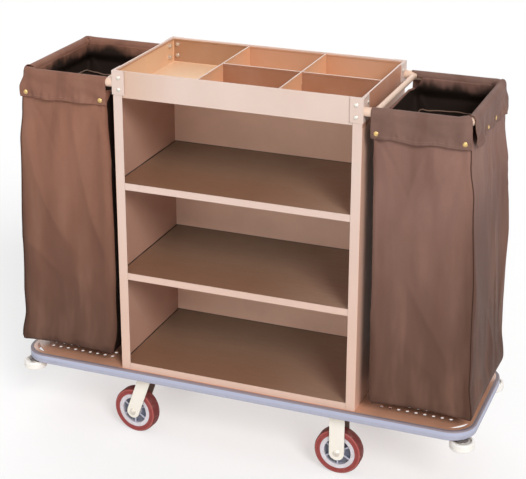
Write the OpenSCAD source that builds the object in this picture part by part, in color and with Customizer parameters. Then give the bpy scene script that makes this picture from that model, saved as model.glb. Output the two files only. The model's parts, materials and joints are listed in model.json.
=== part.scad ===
/* [Cabinet] */
// Width of the cabinet across its side panels
cabinet_w = 642; // [560:2:760]
// Depth of the cabinet from post face to post face
cabinet_d = 356; // [320:2:420]
// Height of the cabinet from the deck to the tray rim
cabinet_h = 812; // [760:1:900]
// Thickness of the cabinet sheet
sheet_t = 1.5; // [1:0.1:2]
// Width of the folded post face at each corner
post_w = 24; // [20:1:34]

/* [Shelves] */
// Height of the folded lip at the front of a shelf
shelf_lip_h = 18; // [14:1:26]
// Depth of the return folded back under the lip
shelf_return_w = 12; // [8:1:20]
// Thickness of the inlaid shelf board
board_t = 3; // [2:0.5:5]
// Height of the middle shelf above the deck
middle_shelf_h = 275; // [220:1:330]
// Height of the upper shelf above the deck
upper_shelf_h = 521; // [450:1:600]
// Play round a shelf board and beside a shelf lip
board_gap = 0.5; // [0.3:0.1:1.5]
// Gap between a shelf board and the side walls
board_side_gap = 3; // [1:0.5:4]

/* [Tray] */
// Height of the tray walls
tray_h = 68; // [64:1:100]
// Height of the hem folded inward along the tray rim
hem_h = 8; // [5:1:10]
// Thickness of the divider sheet
divider_t = 1.5; // [1:0.1:2.5]
// How far the dividers stop below the rim
divider_drop = 2; // [0:0.5:10]
// Place of the left cross divider
left_divider_x = -98; // [-180:1:-40]
// Place of the right cross divider
right_divider_x = 111; // [40:1:200]
// Place of the long divider
long_divider_y = -11; // [-60:1:60]
// Play in the crossing slots of the dividers
divider_gap = 0.3; // [0.2:0.1:1]

/* [Corner brackets] */
// Thickness of the angle
bracket_t = 2; // [1.5:0.1:4]
// Height of the angle
bracket_h = 61; // [54:1:64]
// Width of the leg on the post face
bracket_face_leg = 33; // [28:1:44]
// Width of the leg on the cabinet side
bracket_side_leg = 46; // [42:1:70]
// Bolt to the corner edge on the post face
face_bolt_in = 18; // [14:1:20]
// Bolt to the corner edge on the cabinet side
side_bolt_in = 36; // [33:1:37]
// First bolt below the rim
bolt_drop = 18; // [16:1:22]
// Distance between the two bolts of a leg
bolt_pitch = 30; // [24:1:32]
// Thread diameter of the tray bolts
tray_bolt_d = 6; // [4:0.5:7]

/* [Deck] */
// Length of the deck beyond the cabinet at each end
end_bay = 288; // [260:1:340]
// Deck sheet in front of and behind the cabinet
deck_edge = 3; // [2:0.5:20]
// Thickness of the deck sheet
deck_t = 2; // [1.5:0.1:3]
// Height of the folded deck skirt
skirt_h = 26; // [20:1:32]
// Corner radius of the deck sheet
deck_corner_r = 57; // [50:1:80]
// Diameter of a drain hole
hole_d = 9; // [5:0.5:12]
// Spacing of the drain holes along the deck
hole_pitch = 22.3; // [15:0.1:24]
// Number of drain holes in a row
holes_in_row = 9; // [5:1:9]
// Spacing of the two hole rows
row_pitch = 22.5; // [16:0.5:30]
// Outer hole row to the deck edge
row_inset = 53; // [40:1:70]
// Corner slot to the deck corner arc
slot_margin = 10; // [8:1:14]
// Width of the corner slot at its middle
slot_w = 9; // [6:0.5:12]
// Radius of the corner slot's inner arc
slot_inner_r = 300; // [150:10:500]

/* [Bumper] */
// Thickness of the bumper strip
bumper_t = 9; // [7:0.5:20]
// Edge radius of the bumper strip
bumper_edge_r = 4; // [2:0.5:6]

/* [Undercarriage] */
// Height of the hat channel that carries a pair of casters
member_h = 27; // [26:1:45]
// Width of the hat channel
member_w = 116; // [112:1:130]
// Sheet thickness of the hat channel
member_t = 3; // [2:0.5:4]
// Width of a hat channel flange
member_flange = 16; // [10:1:24]
// Leg of the deck stiffener angle
stiffener_leg = 25; // [18:1:30]
// Thickness of the deck stiffener angle
stiffener_t = 3; // [2:0.5:4]
// Stiffeners to the middle line of the deck
stiffener_y = 40; // [30:1:60]

/* [Casters] */
// Height from the floor to the top of the caster plate
caster_h = 177; // [165:1:185]
// Casters to the middle of the deck along its length
caster_x = 268; // [230:1:280]
// Casters to the long edge of the deck
caster_inset = 49; // [45:1:60]
// Wheel diameter
wheel_d = 125; // [115:1:127]
// Width of the tyre
tread_w = 32; // [26:1:34]
// Thickness of the tyre
tyre_t = 15.5; // [10:0.5:18]
// Radius of the tyre shoulder
shoulder_r = 6; // [3:0.5:9]
// Radius of the groove round each side of the tyre
groove_r = 1; // [0.5:0.1:1.2]
// Width of the wheel hub between its end faces
hub_w = 38; // [36:1:44]
// Radial depth of the wheel rim
rim_t = 11; // [8:1:13]
// Thickness of the wheel web
web_t = 9; // [6:1:14]
// Number of ribs on each face of the web
rib_count = 6; // [4:1:10]
// Thickness of a web rib
rib_t = 4; // [2:0.5:6]
// Rib edge below the face of the rim
rib_inset = 3; // [1:0.5:6]
// Diameter of the hub boss
hub_d = 34; // [32:1:40]
// Outer diameter of a wheel bearing
bearing_od = 26; // [22:1:28]
// Width of a wheel bearing
bearing_w = 8; // [6:1:10]
// Axle diameter
axle_d = 10; // [8:1:12]
// Running clearance on axles, kingpins and roller pins
run_gap = 0.05; // [0.02:0.01:0.1]
// Hub face to fork leg
hub_gap = 1; // [0.5:0.1:2]
// Distance that a swivel wheel trails its kingpin
trail = 38; // [25:1:45]
// Half width of a swivel fork leg
swivel_leg_r = 18; // [14:1:20]
// Half width of a rigid fork leg
rigid_leg_r = 20; // [14:1:24]
// Thickness of the fork legs
leg_t = 3; // [2:0.5:4]
// Length of the caster plate
plate_l = 105; // [104:1:110]
// Width of the caster plate
plate_w = 80; // [79:1:90]
// Thickness of the caster plate
plate_t = 3; // [2:0.5:5]
// Corner radius of the caster plate
plate_corner_r = 8; // [3:1:10]
// Spacing of the caster bolts along the plate
bolt_span_x = 80; // [78:1:86]
// Spacing of the caster bolts across the plate
bolt_span_y = 60; // [56:1:62]
// Thread diameter of the caster bolts
caster_bolt_d = 8; // [6:0.5:9]
// Kingpin diameter
kingpin_d = 12; // [10:1:14]
// Diameter of the ball race under the plate
race_d = 58; // [50:1:60]
// Height of the ball race
race_h = 7; // [5:0.5:9]
// Wall of the fork cup round the ball race
cup_wall = 4; // [2:0.5:5]
// Angle to which the front left caster is turned
front_left_turn = -7; // [-30:1:30]
// Angle to which the back left caster is turned
back_left_turn = 3; // [-30:1:30]

/* [Corner rollers] */
// Diameter of a corner roller
roller_d = 62; // [50:1:70]
// Height of a corner roller
roller_h = 22; // [18:1:26]
// Edge radius of a corner roller
roller_edge_r = 5; // [2:0.5:7]
// Wall of a corner roller round its recesses
roller_wall = 7; // [5:0.5:10]
// Depth of the recesses in a corner roller
roller_recess = 6; // [4:0.5:7]
// How far a roller stands proud of the bumper sides
roller_proud = 5; // [2:0.5:10]
// Thickness of the roller bracket
roller_bracket_t = 4; // [4:0.5:6]
// Diameter of the roller pin
roller_pin_d = 8; // [6:0.5:9]
// Length of the bracket ear behind the roller pin
ear_l = 41; // [36:1:60]

/* [Bag rails] */
// Diameter of the bag rail tube
rail_d = 22; // [18:1:24]
// Wall of the rail tubes
rail_wall = 1.5; // [1:0.1:2.5]
// Rail centre below the tray rim
rail_drop = 34; // [30:1:36]
// Outer rail to the end of the deck
rail_setback = 37; // [30:1:60]
// Bend radius of the rail
rail_bend_r = 30; // [28:1:50]
// Diameter of the cross tube beside the cabinet
cross_d = 15; // [12:1:16]
// Cross tube to the cabinet side
cross_offset = 24; // [18:1:30]

/* [Bags] */
// Thickness of the bag cloth with its hems
cloth_t = 2; // [1.5:0.1:3]
// Play between cloth and tube
cloth_gap = 0.3; // [0.3:0.1:1]
// Inner bag wall to the cabinet corner bracket
bag_gap = 21; // [16:1:26]
// Bag bottom above the deck
bag_lift = 32; // [10:1:60]
// How far the bag floor sags in its middle
floor_sag = 8; // [0:1:9]
// How far the bag swells past the outer rail line
bag_swell = 16; // [12:1:22]
// How far the long bag walls stay behind their flaps
bag_inset = 4; // [3:0.5:10]
// How far the bag walls bow out at half height
bag_bow = 2; // [0:0.5:3]
// How far the bag draws in at its bottom edge
bag_tuck = 3; // [1:0.5:10]
// Height over which the bag draws in at its bottom
bag_foot = 18; // [15:1:60]
// How far the bag leans towards the cabinet below its rim
bag_lean = 10; // [0:1:12]
// How far the foot of the bag spreads past its outer side
bag_flare = 6; // [0:1:10]
// Length of the flap below the rail centre
flap_h = 59; // [45:1:80]
// Inner bag rim below the cross tube
rim_sag = 10; // [4:1:30]
// Corner radius of the bag body
bag_corner_r = 16; // [8:1:24]
// Diameter of a snap
snap_d = 12; // [9:0.5:15]
// Snaps to the end of their flap
snap_in = 16; // [12:1:30]
// Snaps above the flap hem
snap_up = 13; // [10:1:25]
// Snaps of the end flap to its middle
end_snap_y = 40; // [20:1:120]
// Height of a snap
snap_h = 2.6; // [1.5:0.1:4]

/* [Hidden] */
$fn = 64;
// Overlap that makes a cut pass cleanly through a face
cut = 1;
// Play of bolts and pins in their drilled seats
seat_gap = 0.3;
// Play of pressed and bonded round pieces
press_gap = 0.03;
// Play between faces that turn over one another
face_gap = 0.3;
// Hairline between the tray's spot-welded sheets
seam = 0.05;
// Play round the ball race inside its cup
cup_gap = 1;
// Play of the bag wall behind its flap
flap_gap = 0.8;
// Thread that shows past a nut
thread_tail = 2;
// Rim of a wheel hub below each side of its tyre
rim_drop = 1;
// Place of the tyre groove across the flat part of its side
groove_share = 0.7;
// Depth of the shields in a wheel bearing
shield = 0.6;
// Straight bore of a roller bracket below its countersink
sink_land = 1;
// Corner radius, nut height and head height of hex fasteners for each millimetre of thread
hex_r = 0.92;
nut_h = 0.8;
hex_head_h = 0.66;
// Radius, height and dome radius of pan heads for each millimetre of thread
pan_r = 0.9;
pan_h = 0.5;
pan_dome_r = 1.35;

deck_top = caster_h + member_h + deck_t;
tray_top = deck_top + cabinet_h;
tray_floor = tray_top - tray_h;
cab_x = cabinet_w / 2;
cab_y = cabinet_d / 2;
deck_x = cab_x + end_bay;
deck_y = cab_y + deck_edge;
caster_y = deck_y - caster_inset;
edge_x = deck_x + bumper_t;
edge_y = deck_y + bumper_t;
corner_x = cab_x + bracket_t;
corner_y = cab_y + bracket_t;

// Inner faces that shelves, boards and the tray fit between
wall_x = cab_x - sheet_t;
wall_front = -(cab_y - sheet_t);
wall_back = cab_y - 2 * sheet_t;

// Tray walls inside their sheet, and divider top
tray_in_x = wall_x - sheet_t;
tray_in_front = wall_front + sheet_t;
tray_in_back = wall_back - sheet_t;
divider_top = tray_top - divider_drop;

wheel_r = wheel_d / 2;
rim_r = wheel_r - tyre_t;
groove_at = rim_r + groove_share * (wheel_r - shoulder_r - rim_r);
fork_in = hub_w / 2 + hub_gap;
fork_out = fork_in + leg_t;
race_z = caster_h - plate_t - race_h;
head_z = race_z - face_gap;
cup_r = race_d / 2 + cup_gap;

ear_z = deck_top - skirt_h - roller_bracket_t;
roller_top = ear_z - face_gap;
roller_x = edge_x + roller_proud - roller_d / 2;
roller_y = edge_y + roller_proud - roller_d / 2;

rail_z = tray_top - rail_drop;
rail_x = deck_x - rail_setback;
rail_y = corner_y - rail_d / 2;
rail_r = rail_d / 2;
cross_x = corner_x + cross_offset;

sleeve_r = rail_r + cloth_gap;
flap_face_x = rail_x + sleeve_r;
flap_face_y = rail_y + sleeve_r;
flap_bottom = rail_z - flap_h;
flap_x0 = corner_x + bag_gap - 2 * cloth_t;
flap_x1 = rail_x + rail_r - cloth_t;
neck_x = rail_x - sleeve_r;
neck_y = rail_y - sleeve_r;
neck_r = rail_bend_r - sleeve_r;
bag_in_x = corner_x + bag_gap;
bag_out_x = rail_x + bag_swell;
body_in_x = bag_in_x - bag_lean;
foot_out_x = bag_out_x + bag_flare;
bag_bottom = deck_top + bag_lift;
rim_low = rail_z - cross_d / 2 - rim_sag;

post_beige = "#e8d0c3";
sheet_tan = "#a07a68";
board_brown = "#6b4d3c";
tray_tan = "#c89169";
deck_brown = "#966447";
bumper_grey = "#b9bcd0";
rail_cream = "#ebd2b4";
cloth_brown = "#7d5a4b";
brass = "#dcbe82";
tyre_red = "#96463f";
hub_grey = "#d0cfd4";
fork_cream = "#f5f0e4";
roller_white = "#f0ebe4";
zinc = "#c9c9c9";
steel = "#8c8f94";

SIDES = ["left", "right"];
ENDS = ["front", "back"];
SHELVES = ["bottom", "middle", "upper"];
CORNERS = [for (s = SIDES, e = ENDS) str(e, "_", s)];
SWIVELS = [for (e = ENDS) str(e, "_left")];

function side_of(s) = s == "left" ? -1 : 1;
function end_of(e) = e == "front" ? -1 : 1;
function shelf_top(name) =
    deck_top + (name == "upper" ? upper_shelf_h : name == "middle" ? middle_shelf_h : shelf_lip_h);
function turn_of(side, end) = side > 0 ? 0 : end < 0 ? front_left_turn : back_left_turn;

// Block between two opposite corners
module block(low, high) {
    translate(low)
        cube(high - low);
}

// Rectangle with true round corners, given by its half sizes
module rounded_rect(half_x, half_y, r) {
    square([2 * half_x, 2 * (half_y - r)], center = true);
    square([2 * (half_x - r), 2 * half_y], center = true);
    for (sx = [-1, 1], sy = [-1, 1])
        translate([sx * (half_x - r), sy * (half_y - r)])
            circle(r);
}

// Lays a profile drawn across and up along the X axis
module along_x(length) {
    rotate([90, 0, 90])
        linear_extrude(length, center = true)
            children();
}

// Lays a profile drawn along and up across the Y axis
module along_y(length) {
    rotate([90, 0, 0])
        linear_extrude(length, center = true)
            children();
}

module at_corners(x, y) {
    for (sx = [-1, 1], sy = [-1, 1])
        translate([sx * x, sy * y, 0])
            children();
}

module hex_nut(thread_d) {
    difference() {
        cylinder(r = thread_d * hex_r, h = thread_d * nut_h, $fn = 6);
        translate([0, 0, -cut])
            cylinder(d = thread_d + 2 * press_gap, h = thread_d * nut_h + 2 * cut);
    }
}

module pan_head(thread_d) {
    dome_r = thread_d * pan_dome_r;
    rotate_extrude()
        intersection() {
            square([thread_d * pan_r, thread_d * pan_h]);
            translate([0, thread_d * pan_h - dome_r])
                circle(dome_r);
        }
}

// Deck

module drain_holes() {
    for (sx = [-1, 1], sy = [-1, 1], row = [0, 1], i = [0 : holes_in_row - 1])
        translate([
            sx * (cab_x + end_bay / 2) + (i - (holes_in_row - 1) / 2) * hole_pitch,
            sy * (deck_y - row_inset - row * row_pitch),
            deck_top - deck_t - cut
        ])
            cylinder(d = hole_d, h = deck_t + 2 * cut);
}

// Crescent between the deck's corner arc and a flatter inner arc
module corner_slots() {
    slot_r = deck_corner_r - slot_margin;
    for (sx = [-1, 1], sy = [-1, 1])
        translate([sx * (deck_x - deck_corner_r), sy * (deck_y - deck_corner_r), deck_top - deck_t - cut])
            mirror([sx < 0 ? 1 : 0, 0, 0])
                mirror([0, sy < 0 ? 1 : 0, 0])
                    rotate([0, 0, 45])
                        linear_extrude(deck_t + 2 * cut)
                            difference() {
                                circle(slot_r);
                                translate([slot_r - slot_w - slot_inner_r, 0])
                                    circle(slot_inner_r);
                            }
}

module deck_pan() {
    color(deck_brown)
        difference() {
            translate([0, 0, deck_top - skirt_h])
                linear_extrude(skirt_h)
                    rounded_rect(deck_x, deck_y, deck_corner_r);
            translate([0, 0, deck_top - skirt_h - cut])
                linear_extrude(skirt_h - deck_t + cut)
                    rounded_rect(deck_x - deck_t, deck_y - deck_t, deck_corner_r - deck_t);
            drain_holes();
            corner_slots();
        }
}

// Section of the bumper strip, with its flat back on the skirt
module bumper_section() {
    r = bumper_edge_r;
    square([bumper_t - r, skirt_h]);
    translate([0, r])
        square([bumper_t, skirt_h - 2 * r]);
    for (y = [r, skirt_h - r])
        translate([bumper_t - r, y])
            circle(r);
}

module bumper_strip() {
    color(bumper_grey)
        translate([0, 0, deck_top - skirt_h]) {
            for (turn = [0, 180])
                rotate([0, 0, turn]) {
                    translate([0, deck_y, 0])
                        along_x(2 * (deck_x - deck_corner_r))
                            bumper_section();
                    rotate([0, 0, 90])
                        translate([0, deck_x, 0])
                            along_x(2 * (deck_y - deck_corner_r))
                                bumper_section();
                }
            for (sx = [-1, 1], sy = [-1, 1])
                translate([sx * (deck_x - deck_corner_r), sy * (deck_y - deck_corner_r), 0])
                    rotate([0, 0, sx > 0 ? (sy > 0 ? 0 : -90) : (sy > 0 ? 90 : 180)])
                        rotate_extrude(angle = 90)
                            translate([deck_corner_r, 0])
                                bumper_section();
        }
}

// Hat channel across the deck, web down
module cross_member(side) {
    w = member_w / 2;
    f = w + member_flange;
    t = member_t;
    color(deck_brown)
        difference() {
            translate([side * caster_x, 0, caster_h])
                along_y(2 * (deck_y - deck_t))
                    polygon([
                        [-f, member_h], [-w + t, member_h], [-w + t, t], [w - t, t], [w - t, member_h],
                        [f, member_h], [f, member_h - t], [w, member_h - t], [w, 0], [-w, 0],
                        [-w, member_h - t], [-f, member_h - t]
                    ]);
            at_caster_bolts()
                translate([0, 0, caster_h - cut])
                    cylinder(d = caster_bolt_d + 2 * seat_gap, h = member_t + 2 * cut);
        }
}

module stiffener(x0, x1, sy) {
    z = deck_top - deck_t;
    translate([(x0 + x1) / 2, sy * stiffener_y, z])
        along_x(x1 - x0)
            polygon([
                [0, 0], [stiffener_leg, 0], [stiffener_leg, -stiffener_t], [stiffener_t, -stiffener_t],
                [stiffener_t, -stiffener_leg], [0, -stiffener_leg]
            ]);
}

module deck_stiffeners() {
    near = caster_x - member_w / 2 - member_flange;
    far = caster_x + member_w / 2 + member_flange;
    color(deck_brown)
        for (sy = [-1, 1]) {
            stiffener(-near, near, sy);
            stiffener(far, deck_x - deck_t, sy);
            stiffener(-deck_x + deck_t, -far, sy);
        }
}

// Cabinet

module side_panel(side) {
    color(post_beige)
        difference() {
            mirror([side < 0 ? 1 : 0, 0, 0])
                translate([0, 0, deck_top])
                    linear_extrude(cabinet_h)
                        polygon([
                            [cab_x, -cab_y], [cab_x, cab_y], [cab_x - post_w, cab_y],
                            [cab_x - post_w, cab_y - sheet_t], [wall_x, cab_y - sheet_t],
                            [wall_x, wall_front], [cab_x - post_w, wall_front], [cab_x - post_w, -cab_y]
                        ]);
            tray_bolt_holes();
        }
}

module back_panel() {
    color(sheet_tan)
        difference() {
            block([-wall_x, wall_back, deck_top], [wall_x, wall_back + sheet_t, tray_top]);
            tray_bolt_holes();
        }
}

// Folded shelf: raised front lip with a return, and flanges turned down at the sides and back
module shelf_pan(top) {
    bed = top - board_t;
    low = top - shelf_lip_h;
    lip_x = cab_x - post_w - board_gap;
    color(post_beige) {
        block([-wall_x, wall_front, bed - sheet_t], [wall_x, wall_back, bed]);
        block([-lip_x, -cab_y, low], [lip_x, wall_front, top]);
        block([-lip_x, wall_front, low], [lip_x, -cab_y + shelf_return_w, low + sheet_t]);
        block([-wall_x, wall_back - sheet_t, low], [wall_x, wall_back, bed - sheet_t]);
        for (sx = [-1, 1])
            translate([sx * (wall_x - sheet_t / 2), 0, 0])
                block([-sheet_t / 2, wall_front, low], [sheet_t / 2, wall_back, bed - sheet_t]);
    }
}

module shelf_board(top) {
    x = wall_x - board_side_gap;
    color(board_brown)
        block([-x, wall_front + board_gap, top - board_t], [x, wall_back - board_gap, top]);
}

// Tray

// Places its children on each bracket bolt, Z outward from the bracket face;
// $stack is the thickness of bracket and sheets that the bolt clamps
module at_tray_bolts() {
    for (sx = [-1, 1], sy = [-1, 1], i = [0, 1])
        translate([0, 0, tray_top - bolt_drop - i * bolt_pitch]) {
            translate([sx * (corner_x - face_bolt_in), sy * corner_y, 0])
                rotate([-sy * 90, 0, 0]) {
                    $stack = bracket_t + (sy > 0 ? 3 : 2) * sheet_t;
                    children();
                }
            translate([sx * corner_x, sy * (corner_y - side_bolt_in), 0])
                rotate([0, sx * 90, 0]) {
                    $stack = bracket_t + 2 * sheet_t;
                    children();
                }
        }
}

module tray_bolt_holes() {
    at_tray_bolts()
        translate([0, 0, -$stack - cut])
            cylinder(d = tray_bolt_d + 2 * seat_gap, h = $stack + 2 * cut);
}

module tray_pan() {
    hem = 2 * sheet_t;
    hem_z = tray_top - hem_h;
    hem_front = wall_front + hem;
    hem_back = wall_back - hem;
    long_x = tray_in_x - seam;
    color(tray_tan)
        difference() {
            union() {
                block(
                    [-long_x, tray_in_front + seam, tray_floor],
                    [long_x, tray_in_back - seam, tray_floor + sheet_t]
                );
                block([-wall_x, wall_front, tray_floor], [wall_x, tray_in_front, tray_top]);
                block([-long_x, tray_in_front, hem_z], [long_x, hem_front, tray_top]);
                block([-wall_x, tray_in_back, tray_floor], [wall_x, wall_back, tray_top]);
                block([-long_x, hem_back, hem_z], [long_x, tray_in_back, tray_top]);
                for (sx = [-1, 1])
                    mirror([sx < 0 ? 1 : 0, 0, 0]) {
                        block(
                            [tray_in_x, tray_in_front + seam, tray_floor],
                            [wall_x, tray_in_back - seam, tray_top]
                        );
                        block(
                            [wall_x - hem, hem_front + seam, hem_z],
                            [tray_in_x, hem_back - seam, tray_top]
                        );
                    }
            }
            tray_bolt_holes();
        }
}

// Divider sheet standing on the tray floor between two faces, its top edge hemmed;
// lower ends meet the walls or sheet, upper ends meet the hems above them
module divider(low, high, low_hem, high_hem) {
    base = tray_floor + sheet_t;
    hem_z = tray_top - hem_h;
    block([low, -divider_t / 2, base], [high, divider_t / 2, hem_z]);
    block([low_hem, -divider_t, hem_z], [high_hem, divider_t, divider_top]);
}

// Half height of the crossing, up to which one slot reaches and from which the other starts
cross_z = (tray_floor + sheet_t + divider_top) / 2;

module cross_divider(x) {
    rotate([0, 0, 90])
        translate([0, -x, 0])
            divider(tray_in_front, tray_in_back, tray_in_front + sheet_t, tray_in_back - sheet_t);
}

module tray_left_divider() {
    color(tray_tan)
        cross_divider(left_divider_x);
}

module tray_right_divider() {
    half = divider_t / 2 + divider_gap;
    color(tray_tan)
        difference() {
            cross_divider(right_divider_x);
            block(
                [right_divider_x - 2 * divider_t, long_divider_y - half, tray_floor],
                [right_divider_x + 2 * divider_t, long_divider_y + half, cross_z + divider_gap]
            );
        }
}

module tray_long_divider() {
    half = divider_t + divider_gap;
    color(tray_tan)
        difference() {
            translate([0, long_divider_y, 0])
                divider(
                    left_divider_x + divider_t / 2, tray_in_x,
                    left_divider_x + divider_t, tray_in_x - sheet_t
                );
            block(
                [right_divider_x - half, long_divider_y - 2 * divider_t, cross_z],
                [right_divider_x + half, long_divider_y + 2 * divider_t, tray_top]
            );
        }
}

module corner_brackets() {
    color(post_beige)
        difference() {
            for (sx = [-1, 1], sy = [-1, 1])
                mirror([sx < 0 ? 1 : 0, 0, 0])
                    mirror([0, sy < 0 ? 1 : 0, 0])
                        translate([0, 0, tray_top - bracket_h])
                            linear_extrude(bracket_h)
                                polygon([
                                    [corner_x, corner_y], [corner_x - bracket_face_leg, corner_y],
                                    [corner_x - bracket_face_leg, cab_y], [cab_x, cab_y],
                                    [cab_x, corner_y - bracket_side_leg],
                                    [corner_x, corner_y - bracket_side_leg]
                                ]);
            tray_bolt_holes();
        }
}

// Pan head bolts with their heads on the brackets
module tray_bolts() {
    tail = tray_bolt_d * nut_h + thread_tail;
    color(zinc)
        at_tray_bolts() {
            pan_head(tray_bolt_d);
            translate([0, 0, -$stack - tail])
                cylinder(d = tray_bolt_d, h = $stack + tail);
        }
}

module tray_nuts() {
    color(zinc)
        at_tray_bolts()
            translate([0, 0, -$stack - tray_bolt_d * nut_h])
                hex_nut(tray_bolt_d);
}

// Bag rails

// Tube bent to a U round the end of the deck, and the cross tube that closes it
module rail_path(r, cross_r, reach) {
    bend_x = rail_x - rail_bend_r;
    bend_y = rail_y - rail_bend_r;
    translate([0, 0, rail_z]) {
        for (sy = [-1, 1]) {
            translate([corner_x - reach, sy * rail_y, 0])
                rotate([0, 90, 0])
                    cylinder(r = r, h = bend_x - corner_x + reach);
            translate([bend_x, sy * bend_y, 0])
                rotate([0, 0, sy > 0 ? 0 : -90])
                    rotate_extrude(angle = 90)
                        translate([rail_bend_r, 0])
                            circle(r);
        }
        translate([rail_x, 0, 0])
            rotate([90, 0, 0])
                cylinder(r = r, h = 2 * bend_y, center = true);
        translate([cross_x, 0, 0])
            rotate([90, 0, 0])
                cylinder(r = cross_r, h = 2 * rail_y, center = true);
    }
}

module bag_rail(side) {
    color(rail_cream)
        mirror([side < 0 ? 1 : 0, 0, 0])
            difference() {
                rail_path(rail_r, cross_d / 2, 0);
                rail_path(rail_r - rail_wall, cross_d / 2 - rail_wall, cut);
            }
}

// Bags

// Points per rounded corner and per straight side of a bag section
corner_steps = 4;
side_steps = 6;

function arc(cx, cy, r, start) = [
    for (i = [0 : corner_steps])
        let (a = start + 90 * i / corner_steps)
            [cx + r * cos(a), cy + r * sin(a)]
];
function run(from, to) = [for (i = [1 : side_steps - 1]) from + (to - from) * i / side_steps];
function section(x0, x1, y, r) = concat(
    arc(x1 - r, y - r, r, 0),
    run([x1 - r, y], [x0 + r, y]),
    arc(x0 + r, y - r, r, 90),
    run([x0, y - r], [x0, r - y]),
    arc(x0 + r, r - y, r, 180),
    run([x0 + r, -y], [x1 - r, -y]),
    arc(x1 - r, r - y, r, 270),
    run([x1, r - y], [x1, y - r])
);

// The rim drops beside the cross tube, where the bag has no flap
function rim(x) = x < cross_x + cross_d / 2 + 2 * cloth_t ? rim_low : rail_z;

// Sections of the bag from its bottom to its rim: height, inner x, outer x, half depth, corner
bag_y = flap_face_y - bag_inset;
half_z = (bag_bottom + flap_bottom) / 2;
bag_levels = [
    [bag_bottom, body_in_x + bag_tuck, foot_out_x - bag_tuck, bag_y - bag_tuck, bag_corner_r],
    [bag_bottom + bag_foot, body_in_x, foot_out_x, bag_y, bag_corner_r],
    [half_z, body_in_x - bag_bow, bag_out_x + bag_bow, bag_y + bag_bow, bag_corner_r],
    [flap_bottom + snap_up, bag_in_x, flap_face_x - flap_gap, flap_face_y - flap_gap, bag_corner_r],
    [rail_z - rail_d, bag_in_x, neck_x, neck_y, neck_r],
    [rail_z, bag_in_x, neck_x, neck_y, neck_r]
];
function level_z(level, skin, x) =
    level[0] == bag_bottom ? bag_bottom + skin
    : level[0] < rail_z - rail_d ? level[0]
    : level[0] + rim(x) - rail_z;
function ring(level, skin) = [
    for (p = section(level[1] + skin, level[2] - skin, level[3] - skin, level[4] - skin))
        [p[0], p[1], level_z(level, skin, p[0] - skin)]
];

// Open shell lofted up the outside, over the rim and down the inside, its floor sagging to the middle
module bag_body() {
    levels = len(bag_levels);
    rings = concat(
        [for (i = [0 : levels - 1]) ring(bag_levels[i], 0)],
        [for (i = [levels - 1 : -1 : 0]) ring(bag_levels[i], cloth_t)]
    );
    n = len(rings[0]);
    last = (len(rings) - 1) * n;
    middle_x = (body_in_x + foot_out_x) / 2;
    floor_points = [for (skin = [0, cloth_t]) [middle_x, 0, bag_bottom - floor_sag + skin]];
    under = last + n;
    polyhedron(
        concat([for (r = rings) each r], floor_points),
        concat(
            [for (j = [0 : n - 1]) [under, j, (j + 1) % n]],
            [
                for (i = [0 : len(rings) - 2], j = [0 : n - 1], half = [0, 1])
                    let (k = (j + 1) % n, a = i * n, b = a + n)
                        half == 0 ? [a + j, b + j, b + k] : [a + j, b + k, a + k]
            ],
            [for (j = [0 : n - 1]) [under + 1, last + (j + 1) % n, last + j]]
        )
    );
}

// Fold over the rail with the flap that hangs outside it, drawn from the rail centre
module flap_section() {
    intersection() {
        difference() {
            circle(sleeve_r + cloth_t);
            circle(sleeve_r);
        }
        translate([-2 * sleeve_r, 0])
            square([4 * sleeve_r, 2 * sleeve_r]);
    }
    translate([sleeve_r, -flap_h])
        square([cloth_t, flap_h]);
}

module bag_flaps() {
    fold_x0 = bag_in_x + neck_r;
    fold_x1 = rail_x - rail_bend_r;
    fold_y = rail_y - rail_bend_r;
    for (sy = [-1, 1])
        mirror([0, sy < 0 ? 1 : 0, 0]) {
            translate([(fold_x0 + fold_x1) / 2, rail_y, rail_z])
                along_x(fold_x1 - fold_x0)
                    flap_section();
            block([flap_x0, flap_face_y, flap_bottom], [flap_x1, flap_face_y + cloth_t, rail_z]);
        }
    translate([rail_x, 0, rail_z])
        along_y(2 * fold_y)
            flap_section();
    block([flap_face_x, -rail_y, flap_bottom], [flap_face_x + cloth_t, rail_y, rail_z]);
}

module bag(side) {
    color(cloth_brown)
        mirror([side < 0 ? 1 : 0, 0, 0]) {
            bag_body();
            bag_flaps();
        }
}

// Ring and dome of one snap, Z outward from the flap
module snap() {
    r = snap_d / 2;
    rotate_extrude()
        polygon([
            [0, 0], [r, 0], [r, snap_h / 3], [3 * r / 4, snap_h / 2.5],
            [3 * r / 5, snap_h / 1.25], [r / 4, snap_h], [0, snap_h]
        ]);
}

module bag_snaps(side) {
    z = flap_bottom + snap_up;
    color(brass)
        mirror([side < 0 ? 1 : 0, 0, 0]) {
            for (x = [flap_x0 + snap_in, flap_x1 - snap_in], sy = [-1, 1])
                translate([x, sy * (flap_face_y + cloth_t), z])
                    rotate([-sy * 90, 0, 0])
                        snap();
            for (sy = [-1, 1])
                translate([flap_face_x + cloth_t, sy * end_snap_y, z])
                    rotate([0, 90, 0])
                        snap();
        }
}

// Casters

module at_caster_bolts() {
    at_corners(caster_x, caster_y)
        at_corners(bolt_span_x / 2, bolt_span_y / 2)
            children();
}

module caster_bolts() {
    head_h = caster_bolt_d * hex_head_h;
    under = caster_h - plate_t;
    top = caster_h + member_t + caster_bolt_d * nut_h + thread_tail;
    color(zinc)
        at_caster_bolts() {
            translate([0, 0, under - head_h])
                cylinder(r = caster_bolt_d * hex_r, h = head_h, $fn = 6);
            translate([0, 0, under - head_h / 2])
                cylinder(d = caster_bolt_d, h = top - under + head_h / 2);
        }
}

module caster_nuts() {
    color(zinc)
        at_caster_bolts()
            translate([0, 0, caster_h + member_t])
                hex_nut(caster_bolt_d);
}

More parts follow.
